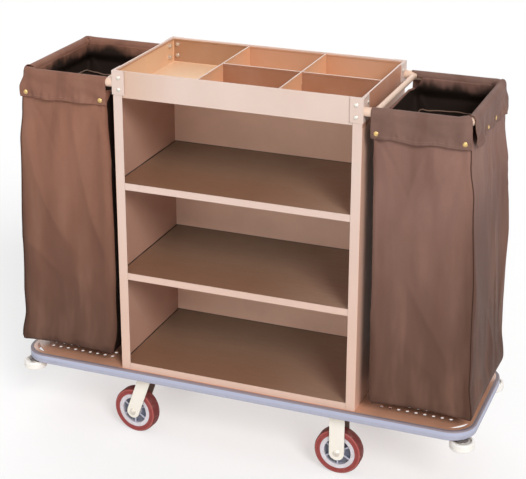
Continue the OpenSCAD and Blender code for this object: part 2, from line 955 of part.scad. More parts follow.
module drilled_plate() {
    difference() {
        translate([0, 0, caster_h - plate_t])
            linear_extrude(plate_t)
                rounded_rect(plate_l / 2, plate_w / 2, plate_corner_r);
        at_corners(bolt_span_x / 2, bolt_span_y / 2)
            translate([0, 0, caster_h - plate_t - cut])
                cylinder(d = caster_bolt_d + 2 * seat_gap, h = plate_t + 2 * cut);
    }
}

// Plate with the fixed ball race pressed down from it
module caster_plate() {
    color(fork_cream)
        difference() {
            union() {
                drilled_plate();
                translate([0, 0, race_z])
                    cylinder(d = race_d, h = race_h);
            }
            translate([0, 0, race_z - cut])
                cylinder(d = kingpin_d + 2 * press_gap, h = race_h + plate_t + 2 * cut);
        }
}

module kingpin() {
    head_h = kingpin_d * hex_head_h;
    low = head_z - leg_t - face_gap - head_h;
    color(steel)
        translate([0, 0, low]) {
            cylinder(d = kingpin_d, h = caster_h - low);
            cylinder(r = kingpin_d * hex_r, h = head_h, $fn = 6);
        }
}

// Leg outline of a swivel fork, from the trailing axle up to the fork head
module swivel_leg() {
    rise = head_z - wheel_r;
    lean = atan(trail / rise);
    length = sqrt(trail * trail + rise * rise) + 2 * swivel_leg_r;
    intersection() {
        translate([-trail, wheel_r])
            union() {
                circle(swivel_leg_r);
                rotate(-lean)
                    translate([-swivel_leg_r, 0])
                        square([2 * swivel_leg_r, length]);
            }
        translate([-2 * wheel_d, 0])
            square([4 * wheel_d, head_z]);
    }
}

// Swivel fork: head with the turning cup of the race, and two legs to the axle
module swivel_fork() {
    color(fork_cream)
        difference() {
            union() {
                translate([0, 0, head_z - leg_t])
                    cylinder(r = cup_r + cup_wall, h = race_h);
                for (sy = [-1, 1])
                    translate([0, sy * (fork_in + leg_t / 2), 0])
                        along_y(leg_t)
                            swivel_leg();
            }
            translate([0, 0, head_z])
                cylinder(r = cup_r, h = race_h + cut);
            translate([0, 0, head_z - leg_t - cut])
                cylinder(d = kingpin_d + 2 * run_gap, h = leg_t + 2 * cut);
            axle_bore(-trail);
        }
}

module axle_bore(x) {
    translate([x, 0, wheel_r])
        rotate([90, 0, 0])
            cylinder(d = axle_d + 2 * press_gap, h = 4 * fork_out, center = true);
}

// Rigid fork: drilled plate with two straight legs
module rigid_fork() {
    color(fork_cream)
        difference() {
            union() {
                drilled_plate();
                for (sy = [-1, 1])
                    translate([0, sy * (fork_in + leg_t / 2), 0])
                        along_y(leg_t)
                            translate([0, wheel_r]) {
                                circle(rigid_leg_r);
                                translate([-rigid_leg_r, 0])
                                    square([2 * rigid_leg_r, caster_h - plate_t - wheel_r]);
                            }
            }
            axle_bore(0);
        }
}

// Axle with a domed head outside one leg and a nut outside the other
module axle() {
    axle_nut_h = axle_d * nut_h;
    color(zinc)
        rotate([90, 0, 0]) {
            translate([0, 0, -fork_out - axle_nut_h - thread_tail])
                cylinder(d = axle_d, h = 2 * fork_out + axle_nut_h + thread_tail);
            translate([0, 0, -fork_out - axle_nut_h])
                cylinder(r = axle_d * hex_r, h = axle_nut_h, $fn = 6);
            translate([0, 0, fork_out])
                pan_head(axle_d);
        }
}

// Wheel pieces turn about Y, drawn with their axis upright
module wheel_hub() {
    dish_r = rim_r - rim_t;
    rim_w = tread_w - 2 * rim_drop;
    color(hub_grey)
        rotate([90, 0, 0])
            difference() {
                union() {
                    rotate_extrude()
                        difference() {
                            translate([0, -rim_w / 2])
                                square([rim_r, rim_w]);
                            for (s = [-1, 1])
                                translate([0, s * (rim_w + web_t) / 2])
                                    square([2 * dish_r, rim_w], center = true);
                        }
                    cylinder(d = hub_d, h = hub_w, center = true);
                    for (i = [0 : rib_count - 1])
                        rotate([0, 0, (i + 0.5) * 360 / rib_count])
                            translate([0, -rib_t / 2, -rim_w / 2 + rib_inset])
                                cube([dish_r + cut, rib_t, rim_w - 2 * rib_inset]);
                }
                cylinder(d = (axle_d + bearing_od) / 2, h = hub_w + 2 * cut, center = true);
                for (s = [-1, 1])
                    translate([0, 0, s * hub_w / 2])
                        cylinder(d = bearing_od + 2 * press_gap, h = 2 * bearing_w, center = true);
            }
}

// Shielded ball bearings, one at each end of the hub
module wheel_bearings() {
    inner = axle_d / 2 + run_gap;
    outer = bearing_od / 2;
    race = (outer - inner) / 4;
    color(steel)
        rotate([90, 0, 0])
            for (s = [-1, 1])
                translate([0, 0, s * (hub_w - bearing_w) / 2])
                    rotate_extrude()
                        difference() {
                            translate([inner, -bearing_w / 2])
                                square([outer - inner, bearing_w]);
                            for (f = [-1, 1])
                                translate([(inner + outer) / 2, f * bearing_w / 2])
                                    square([outer - inner - 2 * race, 2 * shield], center = true);
                        }
}

module tyre() {
    inner = rim_r + press_gap;
    color(tyre_red)
        rotate([90, 0, 0])
            rotate_extrude()
                difference() {
                    union() {
                        translate([inner, -tread_w / 2])
                            square([wheel_r - shoulder_r - inner, tread_w]);
                        translate([inner, -tread_w / 2 + shoulder_r])
                            square([wheel_r - inner, tread_w - 2 * shoulder_r]);
                        for (s = [-1, 1])
                            translate([wheel_r - shoulder_r, s * (tread_w / 2 - shoulder_r)])
                                circle(shoulder_r);
                    }
                    for (s = [-1, 1])
                        translate([groove_at, s * tread_w / 2])
                            circle(groove_r);
                }
}

// Stands a caster piece, drawn about its own plate centre, under its corner of the deck
module at_caster(side, end) {
    translate([side * caster_x, end * caster_y, 0])
        children();
}

// Turns a fork about its kingpin
module at_fork(side, end) {
    at_caster(side, end)
        rotate([0, 0, turn_of(side, end)])
            children();
}

// Places a wheel piece on the axle of its fork
module at_axle(side, end) {
    at_fork(side, end)
        translate([side < 0 ? -trail : 0, 0, wheel_r])
            children();
}

// Corner rollers

// Ear under each deck corner, countersunk for the roller pin
module roller_brackets() {
    ear_r = 2 * roller_pin_d;
    arm_w = 3.4 * roller_pin_d;
    color(deck_brown)
        for (sx = [-1, 1], sy = [-1, 1])
            mirror([sx < 0 ? 1 : 0, 0, 0])
                mirror([0, sy < 0 ? 1 : 0, 0])
                    translate([roller_x, roller_y, ear_z])
                        difference() {
                            linear_extrude(roller_bracket_t)
                                union() {
                                    circle(ear_r);
                                    rotate(225)
                                        translate([0, -arm_w / 2])
                                            square([ear_l, arm_w]);
                                }
                            rotate_extrude()
                                sink_section(seat_gap, -cut, cut);
                        }
}

// Half section of a countersunk pin at the height of its bracket, with play all round
module sink_section(gap, below, above) {
    r = roller_pin_d / 2 + gap;
    head_r = roller_pin_d + gap;
    polygon([
        [0, below], [r, below], [r, sink_land], [head_r, roller_bracket_t],
        [head_r, roller_bracket_t + above], [0, roller_bracket_t + above]
    ]);
}

// Countersunk pins with a nut up in the roller's lower recess
module roller_pins() {
    nut_z = roller_top - roller_h + roller_recess - face_gap - roller_pin_d * nut_h;
    color(zinc)
        at_corners(roller_x, roller_y) {
            translate([0, 0, ear_z])
                rotate_extrude()
                    sink_section(0, nut_z - ear_z, 0);
            translate([0, 0, nut_z])
                cylinder(r = roller_pin_d * hex_r, h = roller_pin_d * nut_h, $fn = 6);
        }
}

module roller(side, end) {
    r = roller_d / 2;
    dish_r = r - roller_wall;
    color(roller_white)
        translate([side * roller_x, end * roller_y, roller_top - roller_h])
            rotate_extrude()
                difference() {
                    union() {
                        square([r - roller_edge_r, roller_h]);
                        translate([0, roller_edge_r])
                            square([r, roller_h - 2 * roller_edge_r]);
                        for (z = [roller_edge_r, roller_h - roller_edge_r])
                            translate([r - roller_edge_r, z])
                                circle(roller_edge_r);
                    }
                    translate([0, -cut])
                        square([roller_pin_d / 2 + run_gap, roller_h + 2 * cut]);
                    translate([0, -cut])
                        square([dish_r, roller_recess + cut]);
                    translate([roller_pin_d, roller_h - roller_recess])
                        square([dish_r - roller_pin_d, roller_recess + cut]);
                }
}

deck_pan();
bumper_strip();
deck_stiffeners();
back_panel();
tray_pan();
tray_left_divider();
tray_right_divider();
tray_long_divider();
corner_brackets();
tray_bolts();
tray_nuts();
caster_bolts();
caster_nuts();
roller_brackets();
roller_pins();

for (n = SHELVES) {
    shelf_pan(shelf_top(n));
    shelf_board(shelf_top(n));
}

for (s = SIDES) {
    cross_member(side_of(s));
    side_panel(side_of(s));
    bag_rail(side_of(s));
    bag(side_of(s));
    bag_snaps(side_of(s));
}

for (e = ENDS) {
    c = str(e, "_left");
    at_caster(-1, end_of(e)) caster_plate();
    at_caster(-1, end_of(e)) kingpin();
    at_fork(-1, end_of(e)) swivel_fork();
    at_fork(1, end_of(e)) rigid_fork();
}

for (s = SIDES, e = ENDS) {
    c = str(e, "_", s);
    at_axle(side_of(s), end_of(e)) axle();
    at_axle(side_of(s), end_of(e)) wheel_hub();
    at_axle(side_of(s), end_of(e)) wheel_bearings();
    at_axle(side_of(s), end_of(e)) tyre();
    roller(side_of(s), end_of(e));
}
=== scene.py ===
# Linen cart with a cloth bag at each end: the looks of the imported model
import json
import math

import bmesh
import bpy
from mathutils import Matrix, Vector, noise


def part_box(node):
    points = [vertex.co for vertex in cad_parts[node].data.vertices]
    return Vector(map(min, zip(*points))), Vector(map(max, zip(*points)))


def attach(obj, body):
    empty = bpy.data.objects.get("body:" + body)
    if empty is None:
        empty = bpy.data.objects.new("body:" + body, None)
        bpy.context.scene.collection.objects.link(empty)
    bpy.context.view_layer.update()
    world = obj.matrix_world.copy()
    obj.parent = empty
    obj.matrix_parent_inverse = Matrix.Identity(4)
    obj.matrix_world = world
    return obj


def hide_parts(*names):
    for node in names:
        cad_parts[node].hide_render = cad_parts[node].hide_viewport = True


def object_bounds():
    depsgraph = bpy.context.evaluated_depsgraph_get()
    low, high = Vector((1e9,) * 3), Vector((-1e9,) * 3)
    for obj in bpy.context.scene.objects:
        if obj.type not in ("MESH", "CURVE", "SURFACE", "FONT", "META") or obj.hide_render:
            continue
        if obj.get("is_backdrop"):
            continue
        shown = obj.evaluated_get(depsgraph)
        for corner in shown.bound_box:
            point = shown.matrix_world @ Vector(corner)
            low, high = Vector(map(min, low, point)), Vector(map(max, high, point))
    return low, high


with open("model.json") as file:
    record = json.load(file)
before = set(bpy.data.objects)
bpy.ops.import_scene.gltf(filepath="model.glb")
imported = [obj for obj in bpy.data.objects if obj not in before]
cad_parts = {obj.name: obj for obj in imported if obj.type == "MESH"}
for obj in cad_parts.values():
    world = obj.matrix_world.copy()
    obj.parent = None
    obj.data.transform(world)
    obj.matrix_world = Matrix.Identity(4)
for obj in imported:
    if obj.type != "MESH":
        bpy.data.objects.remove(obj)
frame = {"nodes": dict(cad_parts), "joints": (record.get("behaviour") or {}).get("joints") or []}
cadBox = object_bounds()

nodes = frame["nodes"]
scene = bpy.context.scene
corners = ("front_left", "back_left", "front_right", "back_right")
shelves = ("bottom", "middle", "upper")
print("loaded", len(nodes), "nodes")


# A colour as it looks on a screen, 0 to 255, in the linear values that sockets take
def tone(red, green, blue):
    def linear(value):
        share = value / 255
        return share / 12.92 if share <= 0.04045 else ((share + 0.055) / 1.055) ** 2.4
    return (linear(red), linear(green), linear(blue), 1.0)


# Material trees. A Wire is an output socket, and sums on wires add their Math nodes
class Wire:
    def __init__(self, graph, socket):
        self.graph = graph
        self.socket = socket

    def maths(self, operation, *values):
        return self.graph.node("Math", {"operation": operation}, dict(enumerate(values)))

    def __add__(self, other):
        return self.maths("ADD", self, other)

    def __radd__(self, other):
        return self.maths("ADD", other, self)

    def __sub__(self, other):
        return self.maths("SUBTRACT", self, other)

    def __rsub__(self, other):
        return self.maths("SUBTRACT", other, self)

    def __mul__(self, other):
        return self.maths("MULTIPLY", self, other)

    def __rmul__(self, other):
        return self.maths("MULTIPLY", other, self)

    def __gt__(self, other):
        return self.maths("GREATER_THAN", self, other)

    def __lt__(self, other):
        return self.maths("LESS_THAN", self, other)

    def __abs__(self):
        return self.maths("ABSOLUTE", self)


class Graph:
    def __init__(self, tree):
        self.tree = tree

    def node(self, kind, settings=None, sockets=None, output=0):
        made = self.tree.nodes.new("ShaderNode" + kind)
        for key, value in (settings or {}).items():
            setattr(made, key, value)
        for key, value in (sockets or {}).items():
            self.feed(made.inputs[key], value)
        return Wire(self, made.outputs[output])

    def feed(self, socket, value):
        if isinstance(value, Wire):
            self.tree.links.new(value.socket, socket)
        else:
            socket.default_value = value

    def place(self):
        return self.node("TexCoord", output="Object")

    def axis(self, where, name):
        return self.node("SeparateXYZ", None, {0: where}, name)

    def stretched(self, where, scale):
        return self.node("Mapping", None, {"Vector": where, "Scale": scale})

    def vector(self, operation, first, second, output=0):
        return self.node("VectorMath", {"operation": operation}, {0: first, 1: second}, output)

    def noise(self, where, scale, detail=3.0, roughness=0.55):
        sockets = {"Vector": where, "Scale": scale, "Detail": detail, "Roughness": roughness}
        return self.node("TexNoise", None, sockets)

    def ease(self, value, start, end):
        sockets = {"Value": value, "From Min": start, "From Max": end}
        return self.node("MapRange", {"interpolation_type": "SMOOTHSTEP"}, sockets)

    # Sockets 6 and 7 and output 2 are a Mix node's colours
    def mix(self, share, first, second):
        return self.node("Mix", {"data_type": "RGBA"}, {0: share, 6: first, 7: second}, 2)

    def tint(self, share, colour, shade):
        return self.mix(share, colour, tone(*shade))

    # The normal with its edges rounded, and where those edges are
    def edge(self, radius):
        rounded = self.node("Bevel", {"samples": 4}, {"Radius": radius})
        flat = self.node("NewGeometry", output="True Normal")
        facing = self.vector("DOT_PRODUCT", rounded, flat, "Value")
        return rounded, self.ease(1 - facing, 0.02, 0.22)


class Finish(Graph):
    def __init__(self, name, fixed):
        self.material = bpy.data.materials.new(name)
        self.material.use_nodes = True
        super().__init__(self.material.node_tree)
        self.shader = self.tree.nodes["Principled BSDF"]
        self.set(fixed)

    def set(self, sockets):
        for key, value in sockets.items():
            self.feed(self.shader.inputs[key], value)

    def bump(self, height, distance, strength=1.0, normal=None):
        sockets = {"Height": height, "Distance": distance, "Strength": strength}
        if normal:
            sockets["Normal"] = normal
        self.set({"Normal": self.node("Bump", None, sockets)})


# Powder-coated sheet steel: orange peel, paler edges that are partly wear and partly painted highlight,
# faint grime.
# Each zone is a mask by place, with the key of its colour
coating = {"gloss": 0.18, "edge": 0.0012, "peel": 0.00006}


def paintedSteel(name, look, zones=()):
    finish = Finish(name, {"Coat Weight": look["coat"], "Coat Roughness": coating["gloss"]})
    where = finish.place()
    colour = tone(*look["colour"])
    # Darker and warmer towards the bottom: painted shade
    if "low" in look:
        height = finish.ease(finish.axis(where, "Z"), look["lowZ"], look["highZ"])
        colour = finish.mix(height, tone(*look["low"]), colour)
    for zone, key in zones:
        colour = finish.tint(zone(finish, where), colour, look[key])
    cloudy = finish.ease(finish.noise(where, 7.0, 4.0), 0.35, 0.75)
    colour = finish.tint(cloudy * look["grime"], colour, look["shade"])
    rounded, worn = finish.edge(coating["edge"])
    # Paler edges: partly wear, partly painted highlight
    wornAndHighlit = worn * finish.ease(finish.noise(where, 60.0, 4.0), 0.3, 0.62)
    colour = finish.tint(wornAndHighlit * look["wear"], colour, look["edge"])
    smudge = finish.noise(where, 18.0, 5.0, 0.65)
    finish.set({"Base Color": colour, "Roughness": look["rough"] + 0.16 * (smudge - 0.5)})
    finish.bump(finish.noise(where, 700.0, 2.0), coating["peel"], 0.35, rounded)
    return finish.material


creamPaint = {"colour": (222, 198, 186), "low": (219, 184, 166), "lowZ": 0.25, "highZ": 0.95,
              "shade": (203, 172, 155), "edge": (248, 234, 223),
              "rough": 0.42, "coat": 0.15, "grime": 0.22, "wear": 0.5}
railPaint = dict(creamPaint, colour=(230, 198, 176), low=(230, 198, 176), shade=(208, 174, 150))
deckPaint = {"colour": (214, 158, 128), "shade": (158, 112, 92), "edge": (206, 160, 132),
             "rough": 0.25, "coat": 0.45, "grime": 0.35, "wear": 0.75}
bracketPaint = {"colour": (104, 94, 92), "shade": (78, 70, 68), "edge": (158, 150, 148),
                "rough": 0.35, "coat": 0.2, "grime": 0.3, "wear": 0.6}
# Caster paint; its between colour is painted shade for the fork's inner leg faces
casterPaint = {"colour": (243, 237, 225), "shade": (214, 204, 188), "edge": (252, 250, 244),
               "between": (112, 88, 78), "legInside": 0.0203,
               "rough": 0.36, "coat": 0.2, "grime": 0.2, "wear": 0.4}

# Cabinet walls: a darker inside and a warmer outside, both painted shade, darkest at the top of the outer
# ends, and a thin line of painted shade where the walls meet the shelf boards
panelPaint = dict(creamPaint, inside=(188, 145, 126), outside=(236, 186, 162), endTop=(194, 134, 104),
                  seam=(44, 32, 26), endTopZ=0.945, seamHeight=0.0012, sheet=0.0008)
# The back panel's inner face is paler: painted light
backPaint = dict(panelPaint, inside=(254, 214, 190))
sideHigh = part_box("right_side_panel")[1]
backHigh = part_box("back_panel")[1]
boardBoxes = [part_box(f"{shelf}_shelf_board") for shelf in shelves]


# Inner faces of the side walls, which get painted shade
def insideCabinet(finish, where):
    x = abs(finish.axis(where, "X"))
    y = abs(finish.axis(where, "Y"))
    return (x < sideHigh.x - panelPaint["sheet"]) * (y < sideHigh.y - panelPaint["sheet"])


# Outer faces: a warmer tone that is painted shade
def outsideCabinet(finish, where):
    return abs(finish.axis(where, "X")) > sideHigh.x - panelPaint["sheet"]


# Top of the outer ends: darker still, painted shade
def outsideTop(finish, where):
    return outsideCabinet(finish, where) * (finish.axis(where, "Z") > panelPaint["endTopZ"])


def insideBack(finish, where):
    return finish.axis(where, "Y") < backHigh.y - panelPaint["sheet"]


# A thin line of painted shade on the walls beside each shelf board and just above it
def boardShadeLine(finish, where):
    z = finish.axis(where, "Z")
    joint = 0
    for low, high in boardBoxes:
        joint = (z > low.z) * (z < high.z + panelPaint["seamHeight"]) + joint
    return joint


def panelShadeLine(finish, where):
    return boardShadeLine(finish, where) * insideCabinet(finish, where)


def backShadeLine(finish, where):
    return boardShadeLine(finish, where) * insideBack(finish, where)


# Tray and its dividers: tan inside, with painted light that makes the floor and the left wall palest,
# painted shade on the back wall left of the left divider, and warm at the front's left end
trayPaint = dict(creamPaint, inside=(197, 146, 113), floor=(242, 204, 166), leftWall=(232, 190, 150),
                 backLeft=(170, 125, 92), warm=(210, 176, 154), edge=(246, 222, 200), warmEnd=-0.12,
                 sheet=0.0008, wall=0.003, hem=0.004, floorDepth=0.0655)
# The cross dividers' faces get painted light, and the long divider's faces painted shade
crossPaint = dict(trayPaint, inside=(228, 176, 138))
longPaint = dict(trayPaint, inside=(158, 109, 82))
trayLow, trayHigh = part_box("tray_pan")
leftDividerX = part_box("tray_left_divider")[1].x
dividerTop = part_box("tray_long_divider")[1].z


def insideTray(finish, where):
    sheet = trayPaint["sheet"]
    x = abs(finish.axis(where, "X"))
    y = finish.axis(where, "Y")
    z = finish.axis(where, "Z")
    return (x < trayHigh.x - sheet) * (y > trayLow.y + sheet) * (z < trayHigh.z - trayPaint["hem"])


def trayBottom(finish, where):
    return insideTray(finish, where) * (finish.axis(where, "Z") < trayHigh.z - trayPaint["floorDepth"])


def trayLeft(finish, where):
    return insideTray(finish, where) * (finish.axis(where, "X") < trayLow.x + trayPaint["wall"])


def trayBackLeft(finish, where):
    x = finish.axis(where, "X")
    y = finish.axis(where, "Y")
    return insideTray(finish, where) * (y > trayHigh.y - trayPaint["wall"]) * (x < leftDividerX)


def trayFrontLeft(finish, where):
    front = finish.axis(where, "Y") < trayLow.y + trayPaint["sheet"]
    return front * (1 - finish.ease(finish.axis(where, "X"), trayLow.x, trayPaint["warmEnd"]))


def belowEdge(finish, where):
    return finish.axis(where, "Z") < dividerTop - trayPaint["sheet"]


# Bumper strip: scuffed grey rubber, with painted shade along its top edge beside the deck
bumperLook = {"upper": (178, 181, 202), "lower": (170, 171, 188), "scuff": (128, 122, 130),
              "lip": (126, 106, 104), "lipDepth": 0.005, "lipFull": 0.0025, "edge": 0.0015}


def bumperRubber(look):
    finish = Finish("bumper rubber", {"Specular IOR Level": 0.35})
    where = finish.place()
    low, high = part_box("bumper_strip")
    height = finish.axis(where, "Z")
    lower = 1 - finish.ease(height, low.lerp(high, 0.35).z, low.lerp(high, 0.6).z)
    colour = finish.tint(lower, tone(*look["upper"]), look["lower"])
    scuff = finish.ease(finish.noise(finish.stretched(where, (3, 3, 22)), 6.0, 6.0, 0.7), 0.56, 0.72)
    colour = finish.tint(scuff * 0.3, colour, look["scuff"])
    rounded, worn = finish.edge(look["edge"])
    colour = finish.tint(worn * 0.35, colour, look["lower"])
    # Painted shade along the top edge beside the deck
    lip = finish.ease(height, high.z - look["lipDepth"], high.z - look["lipFull"])
    colour = finish.tint(lip * 0.8, colour, look["lip"])
    grain = finish.noise(where, 420.0, 3.0)
    finish.set({"Base Color": colour, "Roughness": 0.5 + 0.2 * scuff + 0.1 * (grain - 0.5)})
    finish.bump(grain, 0.00012, 0.4, rounded)
    return finish.material


# Shelf boards: brown laminate with a fine streaky print, greyer towards the back and paler towards the
# right
laminateLook = {"front": (139, 102, 79), "back": (128, 112, 95), "frontY": -0.16, "backY": 0.17,
                "right": (190, 162, 144), "rightStart": 0.0, "rightEnd": 0.28, "rightShare": 0.38,
                "streak": (114, 84, 66), "fleck": (188, 148, 120)}


def shelfLaminate(look):
    finish = Finish("shelf laminate", {"Specular IOR Level": 0.4})
    where = finish.place()
    depth = finish.ease(finish.axis(where, "Y"), look["frontY"], look["backY"])
    colour = finish.tint(depth, tone(*look["front"]), look["back"])
    right = finish.ease(finish.axis(where, "X"), look["rightStart"], look["rightEnd"])
    colour = finish.tint(right * look["rightShare"], colour, look["right"])
    streak = finish.noise(finish.stretched(where, (6, 130, 6)), 3.0, 5.0, 0.6)
    colour = finish.tint(finish.ease(streak, 0.4, 0.7) * 0.3, colour, look["streak"])
    fleck = finish.ease(finish.noise(where, 260.0, 2.0), 0.6, 0.72)
    colour = finish.tint(fleck * 0.2, colour, look["fleck"])
    scuff = finish.noise(where, 14.0, 5.0, 0.65)
    finish.set({"Base Color": colour, "Roughness": 0.42 + 0.22 * (scuff - 0.5)})
    finish.bump(streak + 0.4 * fleck, 0.00008, 0.4)
    return finish.material


# Bare metals: plated steel, bearing steel and brass, brightest on their edges
zincSteel = {"colour": (226, 218, 206), "dull": (168, 158, 146), "bright": (250, 247, 240),
             "metal": 0.75, "rough": 0.28, "tarnish": 0.4, "edge": 0.0006}
bearingSteel = {"colour": (206, 206, 208), "dull": (130, 130, 134), "bright": (240, 240, 242),
                "metal": 1.0, "rough": 0.22, "tarnish": 0.5, "edge": 0.0006}
snapBrass = {"colour": (226, 192, 128), "dull": (158, 122, 70), "bright": (252, 232, 182),
             "metal": 0.9, "rough": 0.24, "tarnish": 0.45, "edge": 0.0006}


def plainMetal(name, look):
    finish = Finish(name, {"Metallic": look["metal"]})
    where = finish.place()
    dull = finish.ease(finish.noise(where, 95.0, 5.0, 0.65), 0.42, 0.68)
    colour = finish.tint(dull * look["tarnish"], tone(*look["colour"]), look["dull"])
    rounded, worn = finish.edge(look["edge"])
    colour = finish.tint(worn * 0.4, colour, look["bright"])
    lines = finish.noise(finish.stretched(where, (1, 1, 9)), 600.0, 2.0)
    finish.set({"Base Color": colour, "Roughness": look["rough"] + 0.18 * dull + 0.08 * (lines - 0.5)})
    finish.bump(lines, 0.00003, 0.3, rounded)
    return finish.material


# Where a point lies from a wheel's middle, in metres along its axle and out from it
wheelJoints = {corner: joint for corner in corners for joint in frame["joints"]
               if joint["name"] == corner + "_wheel_spin"}


def wheelArm(finish, where, corner):
    joint = wheelJoints[corner]
    arm = finish.vector("SUBTRACT", where, Vector(joint["pos_m"]))
    return arm, Vector(joint["axis"]).normalized()


def alongAxle(finish, where, corner):
    return abs(finish.vector("DOT_PRODUCT", *wheelArm(finish, where, corner), "Value"))


def fromAxle(finish, where, corner):
    off = finish.vector("CROSS_PRODUCT", *wheelArm(finish, where, corner))
    return finish.node("VectorMath", {"operation": "LENGTH"}, {0: off}, "Value")


# Fork: caster paint, with painted shade on the faces of its legs that look at the wheel
def forkSteel(corner, look):
    def shadeBetweenLegs(finish, where):
        return alongAxle(finish, where, corner) < look["legInside"]
    return paintedSteel(corner + " fork paint", look, [(shadeBetweenLegs, "between")])


# Wheel hub: pale moulded rim round a blue-grey web with paler rib crests
hubLook = {"web": 0.0355, "rim": 0.0365, "boss": 0.0165, "bossEdge": 0.0175, "crestLow": 0.0090,
           "crestHigh": 0.0112, "webColour": (104, 109, 126), "crestColour": (186, 186, 202),
           "rimColour": (216, 211, 216), "dust": (150, 132, 120), "edge": 0.001}


def hubPlastic(corner, look):
    finish = Finish(corner + " hub plastic", {"Specular IOR Level": 0.45})
    where = finish.place()
    radius = fromAxle(finish, where, corner)
    crest = finish.ease(alongAxle(finish, where, corner), look["crestLow"], look["crestHigh"])
    colour = finish.tint(crest, tone(*look["webColour"]), look["crestColour"])
    colour = finish.tint(finish.ease(radius, look["web"], look["rim"]), colour, look["rimColour"])
    colour = finish.tint(1 - finish.ease(radius, look["boss"], look["bossEdge"]), colour, look["rimColour"])
    dust = finish.ease(finish.noise(where, 70.0, 5.0, 0.65), 0.4, 0.7)
    colour = finish.tint(dust * 0.25, colour, look["dust"])
    rounded, worn = finish.edge(look["edge"])
    colour = finish.tint(worn * 0.4, colour, look["rimColour"])
    finish.set({"Base Color": colour, "Roughness": 0.36 + 0.2 * dust})
    finish.bump(finish.noise(where, 500.0, 2.0), 0.00005, 0.3, rounded)
    return finish.material


# Tyre: red rubber, tread dark with floor dust, sidewall clean with a paler shoulder
tyreLook = {"band": 0.0560, "shoulder": 0.0595, "tread": 0.0612, "side": (146, 64, 61),
            "bandColour": (182, 100, 92), "treadColour": (98, 42, 42), "dust": (168, 140, 126)}


def tyreRubber(corner, look):
    finish = Finish(corner + " tyre rubber", {"Specular IOR Level": 0.3})
    where = finish.place()
    radius = fromAxle(finish, where, corner)
    tread = finish.ease(radius, look["shoulder"], look["tread"])
    band = finish.ease(radius, look["band"], look["shoulder"]) * (1 - tread)
    colour = finish.tint(band * 0.6, tone(*look["side"]), look["bandColour"])
    colour = finish.tint(tread * 0.8, colour, look["treadColour"])
    dust = finish.ease(finish.noise(where, 55.0, 6.0, 0.7), 0.45, 0.7)
    colour = finish.tint(dust * (0.12 + 0.3 * tread), colour, look["dust"])
    grain = finish.noise(where, 380.0, 3.0)
    finish.set({"Base Color": colour, "Roughness": 0.48 + 0.2 * tread + 0.1 * (grain - 0.5)})
    finish.bump(grain, 0.0001, 0.35)
    return finish.material


# Corner rollers: off-white moulded plastic with grey rub marks
rollerLook = {"colour": (240, 235, 228), "rub": (176, 166, 156), "edge": 0.0012}


def rollerPlastic(look):
    finish = Finish("roller plastic", {"Specular IOR Level": 0.45})
    where = finish.place()
    rub = finish.ease(finish.noise(finish.stretched(where, (1, 1, 14)), 30.0, 6.0, 0.7), 0.52, 0.7)
    colour = finish.tint(rub * 0.3, tone(*look["colour"]), look["rub"])
    rounded = finish.node("Bevel", {"samples": 4}, {"Radius": look["edge"]})
    finish.set({"Base Color": colour, "Roughness": 0.4 + 0.22 * rub})
    finish.bump(finish.noise(where, 450.0, 2.0), 0.00006, 0.35, rounded)
    return finish.material


# Bag cloth: plain weave on its own map, with streaks of painted sheen and painted fold shade, and painted
# shade that darkens it down to the foot, along the foot and out to the ends
clothLook = {"thread": 0.0014, "paintedSheen": (176, 134, 115), "deep": (104, 72, 60),
             "colour": (160, 112, 92), "cool": (152, 116, 105), "leftX": -0.3, "rightX": 0.4,
             "low": (88, 64, 53), "lowZ": 0.20, "highZ": 0.94,
             "foot": (46, 34, 29), "footLow": 0.250, "footHigh": 0.270, "footLeft": 0.85, "footLoss": 0.55,
             "footShadowNoise": 0.06, "end": (68, 46, 37), "endStart": 0.545, "endFull": 0.604,
             "endLowZ": 0.66, "endHighZ": 0.93, "endShare": 0.62}
pipingLook = dict(clothLook, colour=(84, 60, 50), cool=(84, 62, 54), low=(70, 50, 42),
                  paintedSheen=(104, 76, 64), deep=(52, 36, 30))
flapLook = dict(clothLook, colour=(150, 106, 89), cool=(130, 102, 93))
# Cloth for the bag's side that faces the cabinet: painted shade
paintedShadeLook = dict(clothLook, colour=(38, 27, 22), cool=(38, 28, 24), low=(30, 21, 17),
                 paintedSheen=(48, 34, 28), deep=(26, 18, 15))
# Inside of the bags: painted shade below a band at the rim
insideShadeLook = dict(clothLook, insideShade=(48, 38, 33), bandLow=0.952, bandHigh=0.990, blotch=0.12)


